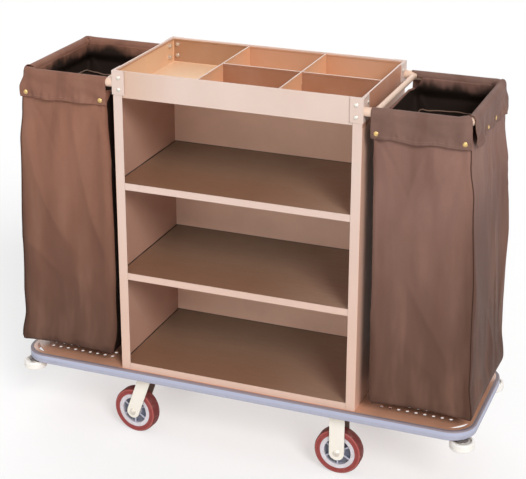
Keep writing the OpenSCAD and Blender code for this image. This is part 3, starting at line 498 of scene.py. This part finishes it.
def bagCloth(name, look):
    finish = Finish(name, {"Specular IOR Level": 0.06})
    where = finish.place()
    weave = finish.node("UVMap", {"uv_map": "weave"})
    turn = 2 * math.pi / look["thread"]
    warp = finish.axis(weave, "X") * turn
    weft = finish.axis(weave, "Y") * turn
    woven = warp.maths("SINE", warp) * weft.maths("SINE", weft)
    height = finish.axis(where, "Z")
    across = finish.ease(finish.axis(where, "X"), look["leftX"], look["rightX"])
    colour = finish.tint(across, tone(*look["colour"]), look["cool"])
    # Darker towards the foot: painted shade
    colour = finish.mix(finish.ease(height, look["lowZ"], look["highZ"]), tone(*look["low"]), colour)
    # A ragged band of painted shadow along the foot
    footShadowNoise = look["footShadowNoise"] * (finish.noise(finish.stretched(where, (1, 1, 0.4)), 16.0, 3.0) - 0.5)
    foot = 1 - finish.ease(height + footShadowNoise, look["footLow"], look["footHigh"])
    colour = finish.tint(foot * (look["footLeft"] - look["footLoss"] * across), colour, look["foot"])
    # Darker towards the lower ends: painted shade
    endShade = finish.ease(abs(finish.axis(where, "X")), look["endStart"], look["endFull"])
    endShade = endShade * (1 - finish.ease(height, look["endLowZ"], look["endHighZ"]))
    colour = finish.tint(endShade * look["endShare"], colour, look["end"])
    # Vertical streaks of painted sheen and painted fold shade
    streak = finish.noise(finish.stretched(weave, (14, 2.6, 1)), 1.0, 3.0, 0.5)
    colour = finish.tint(finish.ease(streak, 0.45, 0.75) * 0.34, colour, look["paintedSheen"])
    colour = finish.tint((1 - finish.ease(streak, 0.28, 0.5)) * 0.4, colour, look["deep"])
    patch = finish.ease(finish.noise(where, 5.0, 4.0), 0.4, 0.7)
    colour = finish.tint(patch * 0.2, colour, look["deep"])
    slub = finish.noise(finish.stretched(weave, (900, 60, 1)), 1.0, 2.0)
    colour = finish.tint(slub * 0.3 + woven * 0.12 + 0.1, colour, look["deep"])
    # Below the band at the rim, the inside is painted shade
    if "insideShade" in look:
        blotch = look["blotch"] * (finish.noise(finish.stretched(where, (1, 1, 0.5)), 14.0, 3.0) - 0.5)
        band = finish.ease(height + blotch, look["bandLow"], look["bandHigh"])
        colour = finish.mix(band, tone(*look["insideShade"]), colour)
    finish.set({"Base Color": colour, "Roughness": 0.50 + 0.15 * (slub - 0.5)})
    finish.bump(woven + 0.6 * slub, 0.00025, 0.45)
    return finish.material


# Sewing thread and the seam tape inside the bags
threadLook = {"colour": (150, 118, 100), "deep": (104, 76, 62)}


def threadFinish(name, look):
    finish = Finish(name, {"Sheen Weight": 0.2, "Specular IOR Level": 0.25})
    twist = finish.noise(finish.place(), 1400.0, 2.0)
    colour = finish.tint(twist * 0.5, tone(*look["colour"]), look["deep"])
    finish.set({"Base Color": colour, "Roughness": 0.7 + 0.2 * (twist - 0.5)})
    finish.bump(twist, 0.0001, 0.4)
    return finish.material


# Each finish, and the nodes that wear it
panelZones = [(insideCabinet, "inside"), (outsideCabinet, "outside"), (outsideTop, "endTop"),
              (panelShadeLine, "seam")]
trayZones = [(insideTray, "inside"), (trayBackLeft, "backLeft"), (trayLeft, "leftWall"),
             (trayBottom, "floor"), (trayFrontLeft, "warm")]
cream = paintedSteel("cream paint", creamPaint)
deckBrown = paintedSteel("deck paint", deckPaint)
panelCream = paintedSteel("panel paint", panelPaint, panelZones)
backTan = paintedSteel("back panel paint", backPaint, [(insideBack, "inside"), (backShadeLine, "seam")])
trayTan = paintedSteel("tray paint", trayPaint, trayZones)
crossTan = paintedSteel("cross divider paint", crossPaint, [(belowEdge, "inside")])
longTan = paintedSteel("long divider paint", longPaint, [(belowEdge, "inside")])
casterCream = paintedSteel("caster paint", casterPaint)
railCream = paintedSteel("rail paint", railPaint)
bracketGrey = paintedSteel("roller bracket paint", bracketPaint)
zinc = plainMetal("zinc steel", zincSteel)
bearing = plainMetal("bearing steel", bearingSteel)
brass = plainMetal("snap brass", snapBrass)
bumper = bumperRubber(bumperLook)
laminate = shelfLaminate(laminateLook)
rollerWhite = rollerPlastic(rollerLook)
clothOut = bagCloth("bag cloth", clothLook)
clothDeep = bagCloth("bag piping", pipingLook)
clothIn = bagCloth("bag lining", insideShadeLook)
clothFlap = bagCloth("bag flap cloth", flapLook)
clothPaintedShade = bagCloth("bag shaded cloth", paintedShadeLook)
thread = threadFinish("bag thread", threadLook)

nodeFinishes = {"deck_pan": deckBrown, "deck_stiffeners": deckBrown, "left_cross_member": deckBrown,
                "right_cross_member": deckBrown, "roller_brackets": bracketGrey, "bumper_strip": bumper,
                "left_side_panel": panelCream, "right_side_panel": panelCream, "back_panel": backTan,
                "tray_pan": trayTan, "tray_left_divider": crossTan, "tray_right_divider": crossTan,
                "tray_long_divider": longTan, "corner_brackets": cream, "left_bag_rail": railCream,
                "right_bag_rail": railCream, "caster_plate": casterCream, "wheel_bearings": bearing,
                "roller": rollerWhite, "left_bag_snaps": brass, "right_bag_snaps": brass}
for shelf in shelves:
    nodeFinishes[f"{shelf}_shelf_pan"] = cream
    nodeFinishes[f"{shelf}_shelf_board"] = laminate
cornerFinishes = {"wheel_hub": (hubPlastic, hubLook), "tyre": (tyreRubber, tyreLook),
                  "fork": (forkSteel, casterPaint)}


# Corner parts go by their name without the corner, and what isn't listed is zinc-plated hardware
def finishOf(name):
    corner = next((each for each in corners if name.startswith(each)), None)
    part = name[len(corner) + 1:] if corner else name
    if part in cornerFinishes:
        make, look = cornerFinishes[part]
        return make(corner, look)
    return nodeFinishes.get(part, zinc)


for name, node in nodes.items():
    node.data.materials.clear()
    node.data.materials.append(finishOf(name))
print("dressed the steel, rubber and plastic")


# A new piece on the cart's fixed body
def finished(name, bm, materials):
    mesh = bpy.data.meshes.new(name)
    for face in bm.faces:
        face.smooth = True
    bm.to_mesh(mesh)
    bm.free()
    piece = bpy.data.objects.new(name, mesh)
    scene.collection.objects.link(piece)
    for material in materials:
        mesh.materials.append(material)
    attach(piece, "cart")
    return piece


# A sheet whose point and weave functions take shares of its width and height
def clothGrid(columns, rows, point, weave):
    bm = bmesh.new()
    bmesh.ops.create_grid(bm, x_segments=columns, y_segments=rows, size=0.5)
    layer = bm.loops.layers.uv.new("weave")
    for face in bm.faces:
        for loop in face.loops:
            loop[layer].uv = weave(loop.vert.co.x + 0.5, loop.vert.co.y + 0.5)
    for vert in bm.verts:
        vert.co = point(vert.co.x + 0.5, vert.co.y + 0.5)
    bmesh.ops.remove_doubles(bm, verts=bm.verts[:], dist=0.00002)
    return bm


def faceOut(bm, outward):
    bm.normal_update()
    leaning = 0
    for face in bm.faces:
        leaning += face.normal.dot(outward(face.calc_center_median())) * face.calc_area()
    if leaning < 0:
        bmesh.ops.reverse_faces(bm, faces=bm.faces[:])


def thicken(piece, thickness, offset, inner=0):
    wall = piece.modifiers.new("cloth thickness", "SOLIDIFY")
    wall.thickness = thickness
    wall.offset = offset
    wall.material_offset = inner
    wall.use_rim = True


# A closed round tube: one ring, extruded from point to point and turned at each
def tubeMesh(points, radius, sides=8):
    bm = bmesh.new()
    last = len(points) - 1
    ways = [points[min(i + 1, last)] - points[max(i - 1, 0)] for i in range(last + 1)]
    start = Matrix.Translation(points[0]) @ ways[0].to_track_quat("Z", "Y").to_matrix().to_4x4()
    ring = bmesh.ops.create_circle(bm, segments=sides, radius=radius, matrix=start)["verts"]
    edges = list({edge for vert in ring for edge in vert.link_edges})
    bmesh.ops.contextual_create(bm, geom=edges)
    for i in range(1, last + 1):
        made = bmesh.ops.extrude_edge_only(bm, edges=edges)["geom"]
        ring = [item for item in made if isinstance(item, bmesh.types.BMVert)]
        edges = [item for item in made if isinstance(item, bmesh.types.BMEdge)
                 and all(vert in ring for vert in item.verts)]
        bend = ways[i - 1].rotation_difference(ways[i])
        bmesh.ops.translate(bm, verts=ring, vec=points[i] - points[i - 1])
        bmesh.ops.rotate(bm, verts=ring, cent=points[i], matrix=bend.to_matrix())
    bmesh.ops.contextual_create(bm, geom=edges)
    bmesh.ops.recalc_face_normals(bm, faces=bm.faces[:])
    return bm


def ease(value, start, end):
    share = min(1, max(0, (value - start) / (end - start)))
    return share * share * (3 - 2 * share)


def blend(share, first, second):
    return first + (second - first) * share


# Smooth noise from about -1 to 1; x and y are places in metres times ripples per metre
def wave(x, y, seed):
    return noise.noise(Vector((x, y, seed)))


def shares(count):
    return [i / count for i in range(count + 1)]


def mirrored(point, side):
    return Vector((point.x * side, point.y, point.z))


# Bags. All sizes are the right bag's, in metres, and the left bag mirrors them
bag = {"cloth": 0.0016, "slack": 0.0003, "corner": 0.009, "inner": 0.346, "swell": 0.0215, "bow": 0.002,
       "sideInset": 0.006, "sideFlare": 0.003, "lift": 0.008, "roll": 0.002, "rollHeight": 0.005,
       "arch": 0.007, "archReach": 0.07, "recess": 0.0034, "recessDrop": 0.036, "floorTurn": 0.12,
       "railBend": 0.030, "flapDrop": 0.059, "hem": 0.010, "gripStart": 0.356, "gripEnd": 0.373,
       "rimDrop": 0.026, "rimSag": 0.014, "rimBulge": 0.010, "bulgeStart": 0.7,
       "columns": 236, "floorRows": 8, "wallRows": 84, "neckRows": 26, "neckStart": 0.86}
# Each bag's inner and outer X at its foot, knee, middle and shoulder, and its end wall's share of folds
kneeZ, middleZ, shoulderZ = 0.33, 0.56, 0.80
leftBody = {"inner": (0.349, 0.345, 0.339, 0.341), "outer": (0.619, 0.604, 0.601, 0.593), "endFold": 0.5}
rightBody = {"inner": (0.354, 0.354, 0.353, 0.350), "outer": (0.616, 0.607, 0.603, 0.593), "endFold": 0.8}
bodies = {-1: leftBody, 1: rightBody}
railLow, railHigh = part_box("right_bag_rail")
bagLow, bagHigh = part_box("right_bag")
tubeRadius = (railHigh.z - railLow.z) / 2
railZ = (railHigh.z + railLow.z) / 2
railX = railHigh.x - tubeRadius
railY = railHigh.y - tubeRadius
sleeve = tubeRadius + bag["slack"] + bag["cloth"] / 2
flapX = railX + sleeve
flapY = railY + sleeve
flapLow = railZ - bag["flapDrop"]
neckIn = tubeRadius + bag["cloth"] / 2
neckX = railX - neckIn
neckY = railY - neckIn
neckCorner = bag["railBend"] - neckIn
bagIn = bag["inner"]
bagOut = railX + bag["swell"]
bagSide = bagHigh.y - bag["sideInset"]
bagFoot = bagLow.z + bag["lift"]
rimLow = railZ - bag["rimDrop"]

# Lengths of the outline's stretches from the middle of the cabinet side round: even ones are walls,
# odd ones corners
outline = [bagSide - bag["corner"], bag["corner"] * math.pi / 2, bagOut - bagIn - 2 * bag["corner"],
           bag["corner"] * math.pi / 2, 2 * (bagSide - bag["corner"])]
outline = outline + outline[3::-1]
girth = sum(outline)
cabinetWalls, sideWalls, endWall = (0, 8), (2, 6), 4
cabinetCorners = (1, 7)


# Height, inner and outer X, half depth and corner radius of a bag, from the foot up
def bagLevels(body):
    corner, roll, bow, recess = bag["corner"], bag["roll"], bag["bow"], bag["recess"]
    foot, knee, middle, shoulder = zip(body["inner"], body["outer"])
    footSide = bagSide + bag["sideFlare"]
    return [(bagFoot, foot[0] + roll, foot[1] - roll, footSide - roll, corner),
            (bagFoot + bag["rollHeight"], *foot, footSide, corner),
            (kneeZ, *knee, bagSide + bow, corner),
            (middleZ, *middle, bagSide + bow, corner),
            (shoulderZ, *shoulder, bagSide + bow, corner),
            (flapLow - bag["recessDrop"], (shoulder[0] + bagIn) / 2, flapX - bow, flapY - bow, corner),
            (flapLow, bagIn, flapX - recess, flapY - recess, corner),
            (railZ - 2 * tubeRadius, bagIn, neckX, neckY, neckCorner),
            (railZ, bagIn, neckX, neckY, neckCorner)]


levels = {side: bagLevels(body) for side, body in bodies.items()}


def bagLevel(side, z):
    steps = zip(levels[side], levels[side][1:])
    low, high = next((step for step in steps if z <= step[1][0]), levels[side][-2:])
    share = ease(z, low[0], high[0])
    return [blend(share, a, b) for a, b in zip(low, high)][1:]


# A point of the rounded outline, the way out from it and the stretch that it lies on
def bagOutline(share, inX, outX, half, radius):
    run = share * girth
    part = 0
    while part < cabinetWalls[1] and run > outline[part]:
        run -= outline[part]
        part += 1
    k = min(1, run / outline[part])
    straight = half - radius
    if part in (*cabinetWalls, endWall):
        start, end = {0: (0, -straight), 4: (-straight, straight), 8: (straight, 0)}[part]
        x, way = (outX, 1) if part == endWall else (inX, -1)
        return Vector((x, blend(k, start, end), 0)), Vector((way, 0, 0)), part
    if part in sideWalls:
        start, end = (inX + radius, outX - radius) if part == 2 else (outX - radius, inX + radius)
        way = -1 if part == 2 else 1
        return Vector((blend(k, start, end), way * half, 0)), Vector((0, way, 0)), part
    angle = math.radians({1: 180, 3: 270, 5: 0, 7: 90}[part] + 90 * k)
    out = Vector((math.cos(angle), math.sin(angle), 0))
    centreX = inX + radius if part in cabinetCorners else outX - radius
    centreY = -straight if part in (1, 3) else straight
    return Vector((centreX, centreY, 0)) + out * radius, out, part


# Folds of the bag's walls, which fade out at the foot and under the flaps
folds = {"broad": 0.0086, "long": 0.0100, "crease": 0.0050, "fine": 0.0005, "slant": 0.0060,
         "slantLow": 0.35, "slantHigh": 0.75, "footReach": 0.05, "neckLow": 0.85, "neckHigh": 0.93,
         "neckLoss": 0.9, "cornerShare": 0.3, "cabinetShare": 0.6,
         "pull": 0.0022, "pullWidth": 0.007, "pullReach": 0.16, "pullSlopes": (0.16, 0.55)}
snaps = {"frontLast": 0.565, "endHalf": 0.040}
snapLow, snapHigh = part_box("right_bag_snaps")
snapZ = (snapLow.z + snapHigh.z) / 2
snapRadius = (snapHigh.z - snapLow.z) / 2
snapSpots = {"front": (snapLow.x + snapRadius, snaps["frontLast"]),
             "end": (-snaps["endHalf"], snaps["endHalf"])}


# Creases that run down and inwards from the two snaps of a wall
def snapPull(along, z, first, last):
    below = snapZ - z
    if below < 0:
        return 0.0
    depth = 0.0
    for slope in folds["pullSlopes"]:
        for off in (along - first - slope * below, last - along - slope * below):
            depth += math.exp(-(off / folds["pullWidth"]) ** 2)
    return folds["pull"] * depth * math.exp(-(below / folds["pullReach"]) ** 2)


# How far the cloth stands out at one place, from slow swells down to small puckers
def foldDepth(run, z, seed):
    drift = wave(run * 2.1, z * 1.6, seed + 31)
    broad = wave(run * 5.2 + 0.5 * drift, z * 1.0, seed)
    long = wave(run * 14 + 2.4 * drift, z * 1.5, seed + 7)
    ridge = 1 - abs(wave(run * 7 + 2.4 * drift, z * 2.2, seed + 17))
    fine = wave(run * 42, z * 12, seed + 13)
    slant = wave(run * 9 + z * 7, (z - run) * 2.4, seed + 23)
    slant *= 1 - ease(z, folds["slantLow"], folds["slantHigh"])
    return (folds["broad"] * broad + folds["long"] * long + folds["crease"] * ridge ** 9
            + folds["fine"] * fine + folds["slant"] * slant)


def foldCalm(z):
    underFlap = ease(z, folds["neckLow"], folds["neckHigh"])
    return ease(z, bagFoot, bagFoot + folds["footReach"]) * (1 - folds["neckLoss"] * underFlap)


# The rim lies on the rail, and sags free between the rail's ends on the cabinet side
def rimHeight(point):
    onRail = ease(point.x, bag["gripStart"], bag["gripEnd"])
    hang = rimLow - bag["rimSag"] * (1 - (point.y / bagSide) ** 2)
    return blend(onRail, hang, railZ)


# A point of the wall: share runs round the outline, height from the foot to the rim
def bagSurface(side, share, height, seed, lift=0.0):
    neck = bagOutline(share, *bagLevel(side, railZ))[0]
    top = rimHeight(neck)
    z = bagFoot + (top - bagFoot) * height
    inX, outX, half, radius = bagLevel(side, z)
    point, out, part = bagOutline(share, inX, outX, half, radius)
    across = (2 * point.x - inX - outX) / (outX - inX) if part in sideWalls else point.y / half
    depth = foldDepth(share * girth, z, seed) * foldCalm(z)
    if part % 2:
        depth *= folds["cornerShare"]
    elif part == endWall:
        depth = bodies[side]["endFold"] * depth - snapPull(point.y, z, *snapSpots["end"])
    elif part in sideWalls:
        depth -= snapPull(point.x, z, *snapSpots["front"])
    else:
        depth *= folds["cabinetShare"]
        point.x -= bag["rimBulge"] * ease(z, bag["bulgeStart"], top) * (1 - (point.y / bagSide) ** 2)
    point += out * (depth + lift)
    point.z = z + bag["arch"] * (1 - across ** 2) * (1 - ease(z, bagFoot, bagFoot + bag["archReach"]))
    return point


def bagFloor(side, share, spread, seed):
    rim = bagSurface(side, share, 0, seed)
    middle = Vector(((bagIn + bagOut) / 2, 0, bagFoot))
    point = middle + (rim - middle) * spread
    point.z -= bag["lift"] * (1 - spread ** 3)
    return point


# Floor, wall and neck in one sheet; its cabinet side gets the cloth with painted shade, and each cloth's
# inner faces get the cloth that is painted shade below a band at the rim
shellCloths = [clothOut, clothIn, clothPaintedShade, clothIn]


def bagShell(side, seed):
    rows = bag["floorRows"] + bag["wallRows"] + bag["neckRows"]
    floorShare = bag["floorRows"] / rows
    neckShare = (bag["floorRows"] + bag["wallRows"]) / rows

    def height(v):
        if v <= neckShare:
            return bag["neckStart"] * (v - floorShare) / (neckShare - floorShare)
        return blend((v - neckShare) / (1 - neckShare), bag["neckStart"], 1)

    def point(u, v):
        if v < floorShare:
            return mirrored(bagFloor(side, u, v / floorShare, seed), side)
        return mirrored(bagSurface(side, u, height(v), seed), side)

    def weave(u, v):
        return (u * girth, blend(height(max(v, floorShare)), bagFoot, railZ) + min(0, v - floorShare))

    bm = clothGrid(bag["columns"], rows, point, weave)
    middle = Vector((side * (bagIn + bagOut) / 2, 0, (bagFoot + railZ) / 2))
    faceOut(bm, lambda centre: centre - middle)
    layer = bm.loops.layers.uv["weave"]
    for face in bm.faces:
        run = sum(loop[layer].uv.x for loop in face.loops) / len(face.loops)
        # Faces on the cabinet side get the cloth with painted shade
        if min(run, girth - run) < outline[0]:
            face.material_index = shellCloths.index(clothPaintedShade)
    return bm


# Flaps: the cloth turns over the rail and hangs outside it, in three pieces that meet at the outer corners
flap = {"columns": 84, "rows": 36, "arc": math.radians(190), "start": 0.341, "crossClear": 0.357,
        "crossFrom": math.radians(110), "crossTo": math.radians(150), "frontEnd": 0.5805,
        "closedHalf": 0.164, "slitHalf": 0.1590, "settle": 0.034, "bendFull": 0.7, "puff": 0.0034,
        "overlap": 0.0024, "snapHold": 0.035, "standOff": 0.0066, "ripple": 0.0052, "drag": 0.0062,
        "pucker": 0.0040, "puckerReach": 0.009, "hemRidge": 0.0006, "hemEdge": 0.0008, "hemWave": 0.0064,
        "pinch": 0.0030, "pinchReach": 0.05}
flapKinds = ("front", "back", "end")
flapArc = sleeve * flap["arc"]
flapLength = flapArc + bag["flapDrop"]
bendOuter = bag["railBend"] + sleeve
straightEnd = {"front": railX - bag["railBend"], "end": railY - bag["railBend"]}
railAt = {"front": railY, "end": railX}


# First and last place of a flap along its rail; the right bag's end flap stops short of the front corner
def flapSpan(kind, side):
    if kind == "end":
        return -flap["slitHalf" if side > 0 else "closedHalf"], flap["closedHalf"]
    return flap["start"], flap["frontEnd"]


# How far a hanging flap stands off: loose between its snaps, puckered along its hem, pinched at its ends
def flapRelief(wall, along, across, hang, seed):
    drop = hang / bag["flapDrop"]
    hemStart = bag["flapDrop"] - bag["hem"]
    first, last = snapSpots[wall]
    if wall == "end":
        loose = 1 - math.exp(-((abs(along) - last) / flap["snapHold"]) ** 2)
    else:
        loose = max(0, math.sin(math.pi * (along - first) / (last - first))) ** 0.7
    ripple = wave(along * 24, hang * 7, seed) + 0.5 * wave(along * 55, hang * 14, seed)
    drag = wave(along * 26 + hang * 20, hang * 22 - along * 9, seed + 9)
    pucker = wave(along * 105, hang * 30, seed + 3)
    relief = drop ** 1.6 * flap["standOff"] * loose * (0.7 + 0.5 * ripple)
    relief += flap["ripple"] * ripple * drop * (0.35 + 0.65 * loose)
    relief += flap["drag"] * drag * ease(drop, 0.0, 0.4)
    relief += flap["pucker"] * pucker * math.exp(-((hang - hemStart) / flap["puckerReach"]) ** 2)
    relief += flap["hemRidge"] * ease(hang, hemStart - flap["hemEdge"], hemStart)
    relief -= flap["pinch"] * drop * (1 - ease(min(across, 1 - across), 0.0, flap["pinchReach"]))
    return relief


# A point of a flap, at a share of its width and of its way over the rail and down
def flapPoint(kind, side, across, down, seed):
    wall = "end" if kind == "end" else "front"
    run = down * flapLength
    angle = flap["arc"] - run / sleeve if run < flapArc else 0.0
    hang = max(0, run - flapArc)
    drop = hang / bag["flapDrop"]
    start, end = flapSpan(kind, side)
    if wall == "front":
        start = blend(ease(angle, flap["crossFrom"], flap["crossTo"]), start, flap["crossClear"])
    along = blend(across, start, end)
    beyond = max(0, abs(along) - straightEnd[wall])
    turn = math.copysign(beyond / bendOuter, along)
    bent = ease(abs(turn), 0.0, flap["bendFull"])
    crumple = wave(along * 34, angle * 1.3 + hang * 16, seed)
    radius = sleeve + bent * flap["puff"] * (0.5 + crumple) * ease(math.sin(angle) + drop, -0.2, 0.5)
    if wall == "end":
        radius += bent * flap["overlap"]
    reach = bag["railBend"] + radius * math.cos(angle)
    sideways = math.copysign(min(abs(along), straightEnd[wall]), along) + reach * math.sin(turn)
    out = railAt[wall] - bag["railBend"] + reach * math.cos(turn)
    flat = ease(hang, 0.0, flap["settle"])
    sideways = blend(flat, sideways, along)
    out = blend(flat, out, railAt[wall] + radius) + flapRelief(wall, along, across, hang, seed)
    z = railZ + radius * math.sin(angle) - hang + drop * flap["hemWave"] * wave(along * 19, 0, seed + 5)
    if wall == "end":
        return Vector((out * side, sideways, z))
    return Vector((sideways * side, -out if kind == "front" else out, z))


def flapOut(kind, side):
    return {"end": Vector((side, 0, 0)), "front": Vector((0, -1, 0)), "back": Vector((0, 1, 0))}[kind]


def flapSheet(kind, side, seed):
    start, end = flapSpan(kind, side)
    bm = clothGrid(flap["columns"], flap["rows"], lambda u, v: flapPoint(kind, side, u, 1 - v, seed),
                   lambda u, v: (blend(u, start, end), v * flapLength))
    faceOut(bm, lambda centre: flapOut(kind, side) if centre.z < railZ else Vector((0, 0, 1)))
    return bm


# Stitches along the hems, each a short bar from one point to the next
stitch = {"pitch": 0.0056, "length": 0.0034, "thick": 0.0008, "proud": 0.0010, "hemInset": 0.002}


def stitchRow(bm, points):
    for before, after in zip(points[::2], points[1::2]):
        way = after - before
        turn = way.to_track_quat("X", "Z").to_matrix().to_4x4()
        size = Matrix.Diagonal((way.length, stitch["thick"], stitch["thick"], 1))
        place = Matrix.Translation((before + after) / 2) @ turn @ size
        bmesh.ops.create_cube(bm, size=1, matrix=place)


def hemStitches(kind, side, seed):
    start, end = flapSpan(kind, side)
    count = int((end - start) / stitch["pitch"])
    down = 1 - (bag["hem"] - stitch["hemInset"]) / flapLength
    points = []
    for i in range(count):
        for step in (-0.5, 0.5):
            across = (i + 0.5) / count + step * stitch["length"] / (end - start)
            made = flapPoint(kind, side, across, down, seed)
            points.append(made + flapOut(kind, side) * stitch["proud"])
    return points


# Trim as thin tubes: a welt down each outer corner, the free rim's rolled hem and the seam inside
trim = {"steps": 60, "welt": 0.0013, "weltTop": 0.925, "rim": 0.0028, "seam": 0.0015, "seamDrop": 0.088,
        "seamSag": 0.009, "seamRipple": 0.004, "seamSink": 0.8}
weltCorners = {"front_welt": 3, "back_welt": 5}


def cornerShare(index):
    return (sum(outline[:index]) + outline[index] / 2) / girth


def weltLine(side, seed, index):
    heights = [k * trim["weltTop"] for k in shares(trim["steps"])]
    return [bagSurface(side, cornerShare(index), height, seed, trim["welt"] / 2) for height in heights]


def rimLine(side, seed):
    first, last = [cornerShare(index) for index in cabinetCorners]
    spots = [blend(k, last - 1, first) % 1 for k in shares(trim["steps"])]
    return [bagSurface(side, spot, 1, seed, -bag["cloth"] / 2) for spot in spots]


def seamLine(side, seed):
    first, last = [cornerShare(index) for index in cabinetCorners]
    line = []
    for k in shares(2 * trim["steps"]):
        share = blend(k, first, last)
        sag = trim["seamSag"] * wave(share * 9, 0, seed) + trim["seamRipple"] * wave(share * 31, 0, seed)
        height = (railZ - trim["seamDrop"] + sag - bagFoot) / (railZ - bagFoot)
        line.append(bagSurface(side, share, height, seed, -bag["cloth"] - trim["seam"] * trim["seamSink"]))
    return line


def trimTube(line, side, radius):
    return tubeMesh([mirrored(point, side) for point in line], radius)


def hangBag(sideName, side, seed):
    prefix = f"{sideName}_bag_"
    stitches = bmesh.new()
    for i, kind in enumerate(flapKinds):
        piece = finished(f"{prefix}{kind}_flap", flapSheet(kind, side, seed + i), [clothFlap])
        thicken(piece, bag["cloth"], 0)
        stitchRow(stitches, hemStitches(kind, side, seed + i))
    stitches = finished(prefix + "stitches", stitches, [thread])
    for name, index in weltCorners.items():
        tube = trimTube(weltLine(side, seed, index), side, trim["welt"])
        finished(prefix + name, tube, [clothDeep])
    tube = trimTube(rimLine(side, seed), side, trim["rim"])
    rolled = finished(prefix + "rim_hem", tube, [clothOut])
    tape = finished(prefix + "inside_seam", trimTube(seamLine(side, seed), side, trim["seam"]), [thread])
    shell = finished(prefix + "shell", bagShell(side, seed), shellCloths)
    thicken(shell, bag["cloth"], -1, 1)
    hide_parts(f"{sideName}_bag")
    wall = railZ - bagFoot
    floorArea = (bagOut - bagIn) * 2 * bagSide
    girth * wall + floorArea


hangBag("left", -1, 11.0)
hangBag("right", 1, 3.0)
print("hung the bags")

# Studio: a white floor that keeps the shadow, soft light from all round, and the photo's camera
studio = {"sky": 0.27, "floor": (236, 236, 236), "glow": 0.52, "diffuse": 0.50, "floorHalf": 25}
lamps = {"key light": {"azimuth": 42, "elevation": 34, "level": 0.68, "spread": 22},
         "left light": {"azimuth": -35, "elevation": 20, "level": 0.08, "spread": 50},
         "front light": {"azimuth": 5, "elevation": 14, "level": 0.10, "spread": 40},
         "back light": {"azimuth": 205, "elevation": 38, "level": 0.22, "spread": 60},
         "top light": {"azimuth": 0, "elevation": 85, "level": 0.14, "spread": 60}}
view = {"azimuth": 21.195, "elevation": 20.04, "roll": 0.154, "distance": 3.780, "sensor": 36.0,
        "target": (-0.0284, 0.0887, 0.6825), "focalPixels": 1444.2, "imageWidth": 526, "lowered": 60}


def seenDirectly(graph):
    sight = graph.node("LightPath", output="Is Camera Ray")
    gloss = graph.node("LightPath", output="Is Glossy Ray")
    through = graph.node("LightPath", output="Is Transmission Ray")
    return sight.maths("MINIMUM", sight + gloss + through, 1.0)


def grey(level):
    return (level, level, level, 1.0)


def direction(azimuth, elevation):
    a, e = math.radians(azimuth), math.radians(elevation)
    return Vector((math.sin(a) * math.cos(e), -math.cos(a) * math.cos(e), math.sin(e)))


world = bpy.data.worlds.new("studio sky")
world.use_nodes = True
scene.world = world
sky = Graph(world.node_tree)
background = world.node_tree.nodes["Background"]
sky.feed(background.inputs["Color"], grey(1.0))
sky.feed(background.inputs["Strength"], studio["sky"] + (1 - studio["sky"]) * seenDirectly(sky))

matt = {"Roughness": 0.9, "Specular IOR Level": 0.0, "Emission Strength": 1.0}
floorFinish = Finish("studio floor", matt)
seen = seenDirectly(floorFinish)
floorColour = floorFinish.mix(seen, tone(*studio["floor"]), grey(studio["diffuse"]))
floorGlow = floorFinish.mix(seen, grey(0.0), grey(studio["glow"]))
floorFinish.set({"Base Color": floorColour, "Emission Color": floorGlow})
bm = bmesh.new()
bmesh.ops.create_grid(bm, x_segments=1, y_segments=1, size=studio["floorHalf"])
floorMesh = bpy.data.meshes.new("studio_floor")
bm.to_mesh(floorMesh)
bm.free()
floor = bpy.data.objects.new("studio_floor", floorMesh)
scene.collection.objects.link(floor)
floorMesh.materials.append(floorFinish.material)
floor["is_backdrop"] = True

for name, lamp in lamps.items():
    light = bpy.data.lights.new(name, "SUN")
    light.energy = lamp["level"] * math.pi  # a level of 1 shows a white wall that faces it as white
    light.angle = math.radians(lamp["spread"])
    holder = bpy.data.objects.new(name, light)
    holder.rotation_euler = direction(lamp["azimuth"], lamp["elevation"]).to_track_quat("Z", "Y").to_euler()
    scene.collection.objects.link(holder)

lens = bpy.data.cameras.new("photo camera")
lens.sensor_width = view["sensor"]
lens.lens = view["focalPixels"] / view["imageWidth"] * view["sensor"]
lens.shift_y = -view["lowered"] / view["imageWidth"]
camera = bpy.data.objects.new("photo camera", lens)
back = direction(view["azimuth"], view["elevation"])
camera.location = Vector(view["target"]) + back * view["distance"]
turn = back.to_track_quat("Z", "Y").to_matrix() @ Matrix.Rotation(math.radians(view["roll"]), 3, "Z")
camera.rotation_euler = turn.to_euler()
scene.collection.objects.link(camera)
scene.camera = camera
scene.view_settings.view_transform = "Standard"
print("set the studio")

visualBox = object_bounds()
boxes = {"cad": [list(corner) for corner in cadBox], "visual": [list(corner) for corner in visualBox]}
for name, box in boxes.items():
    print(name, "box", [[round(value, 4) for value in corner] for corner in box])
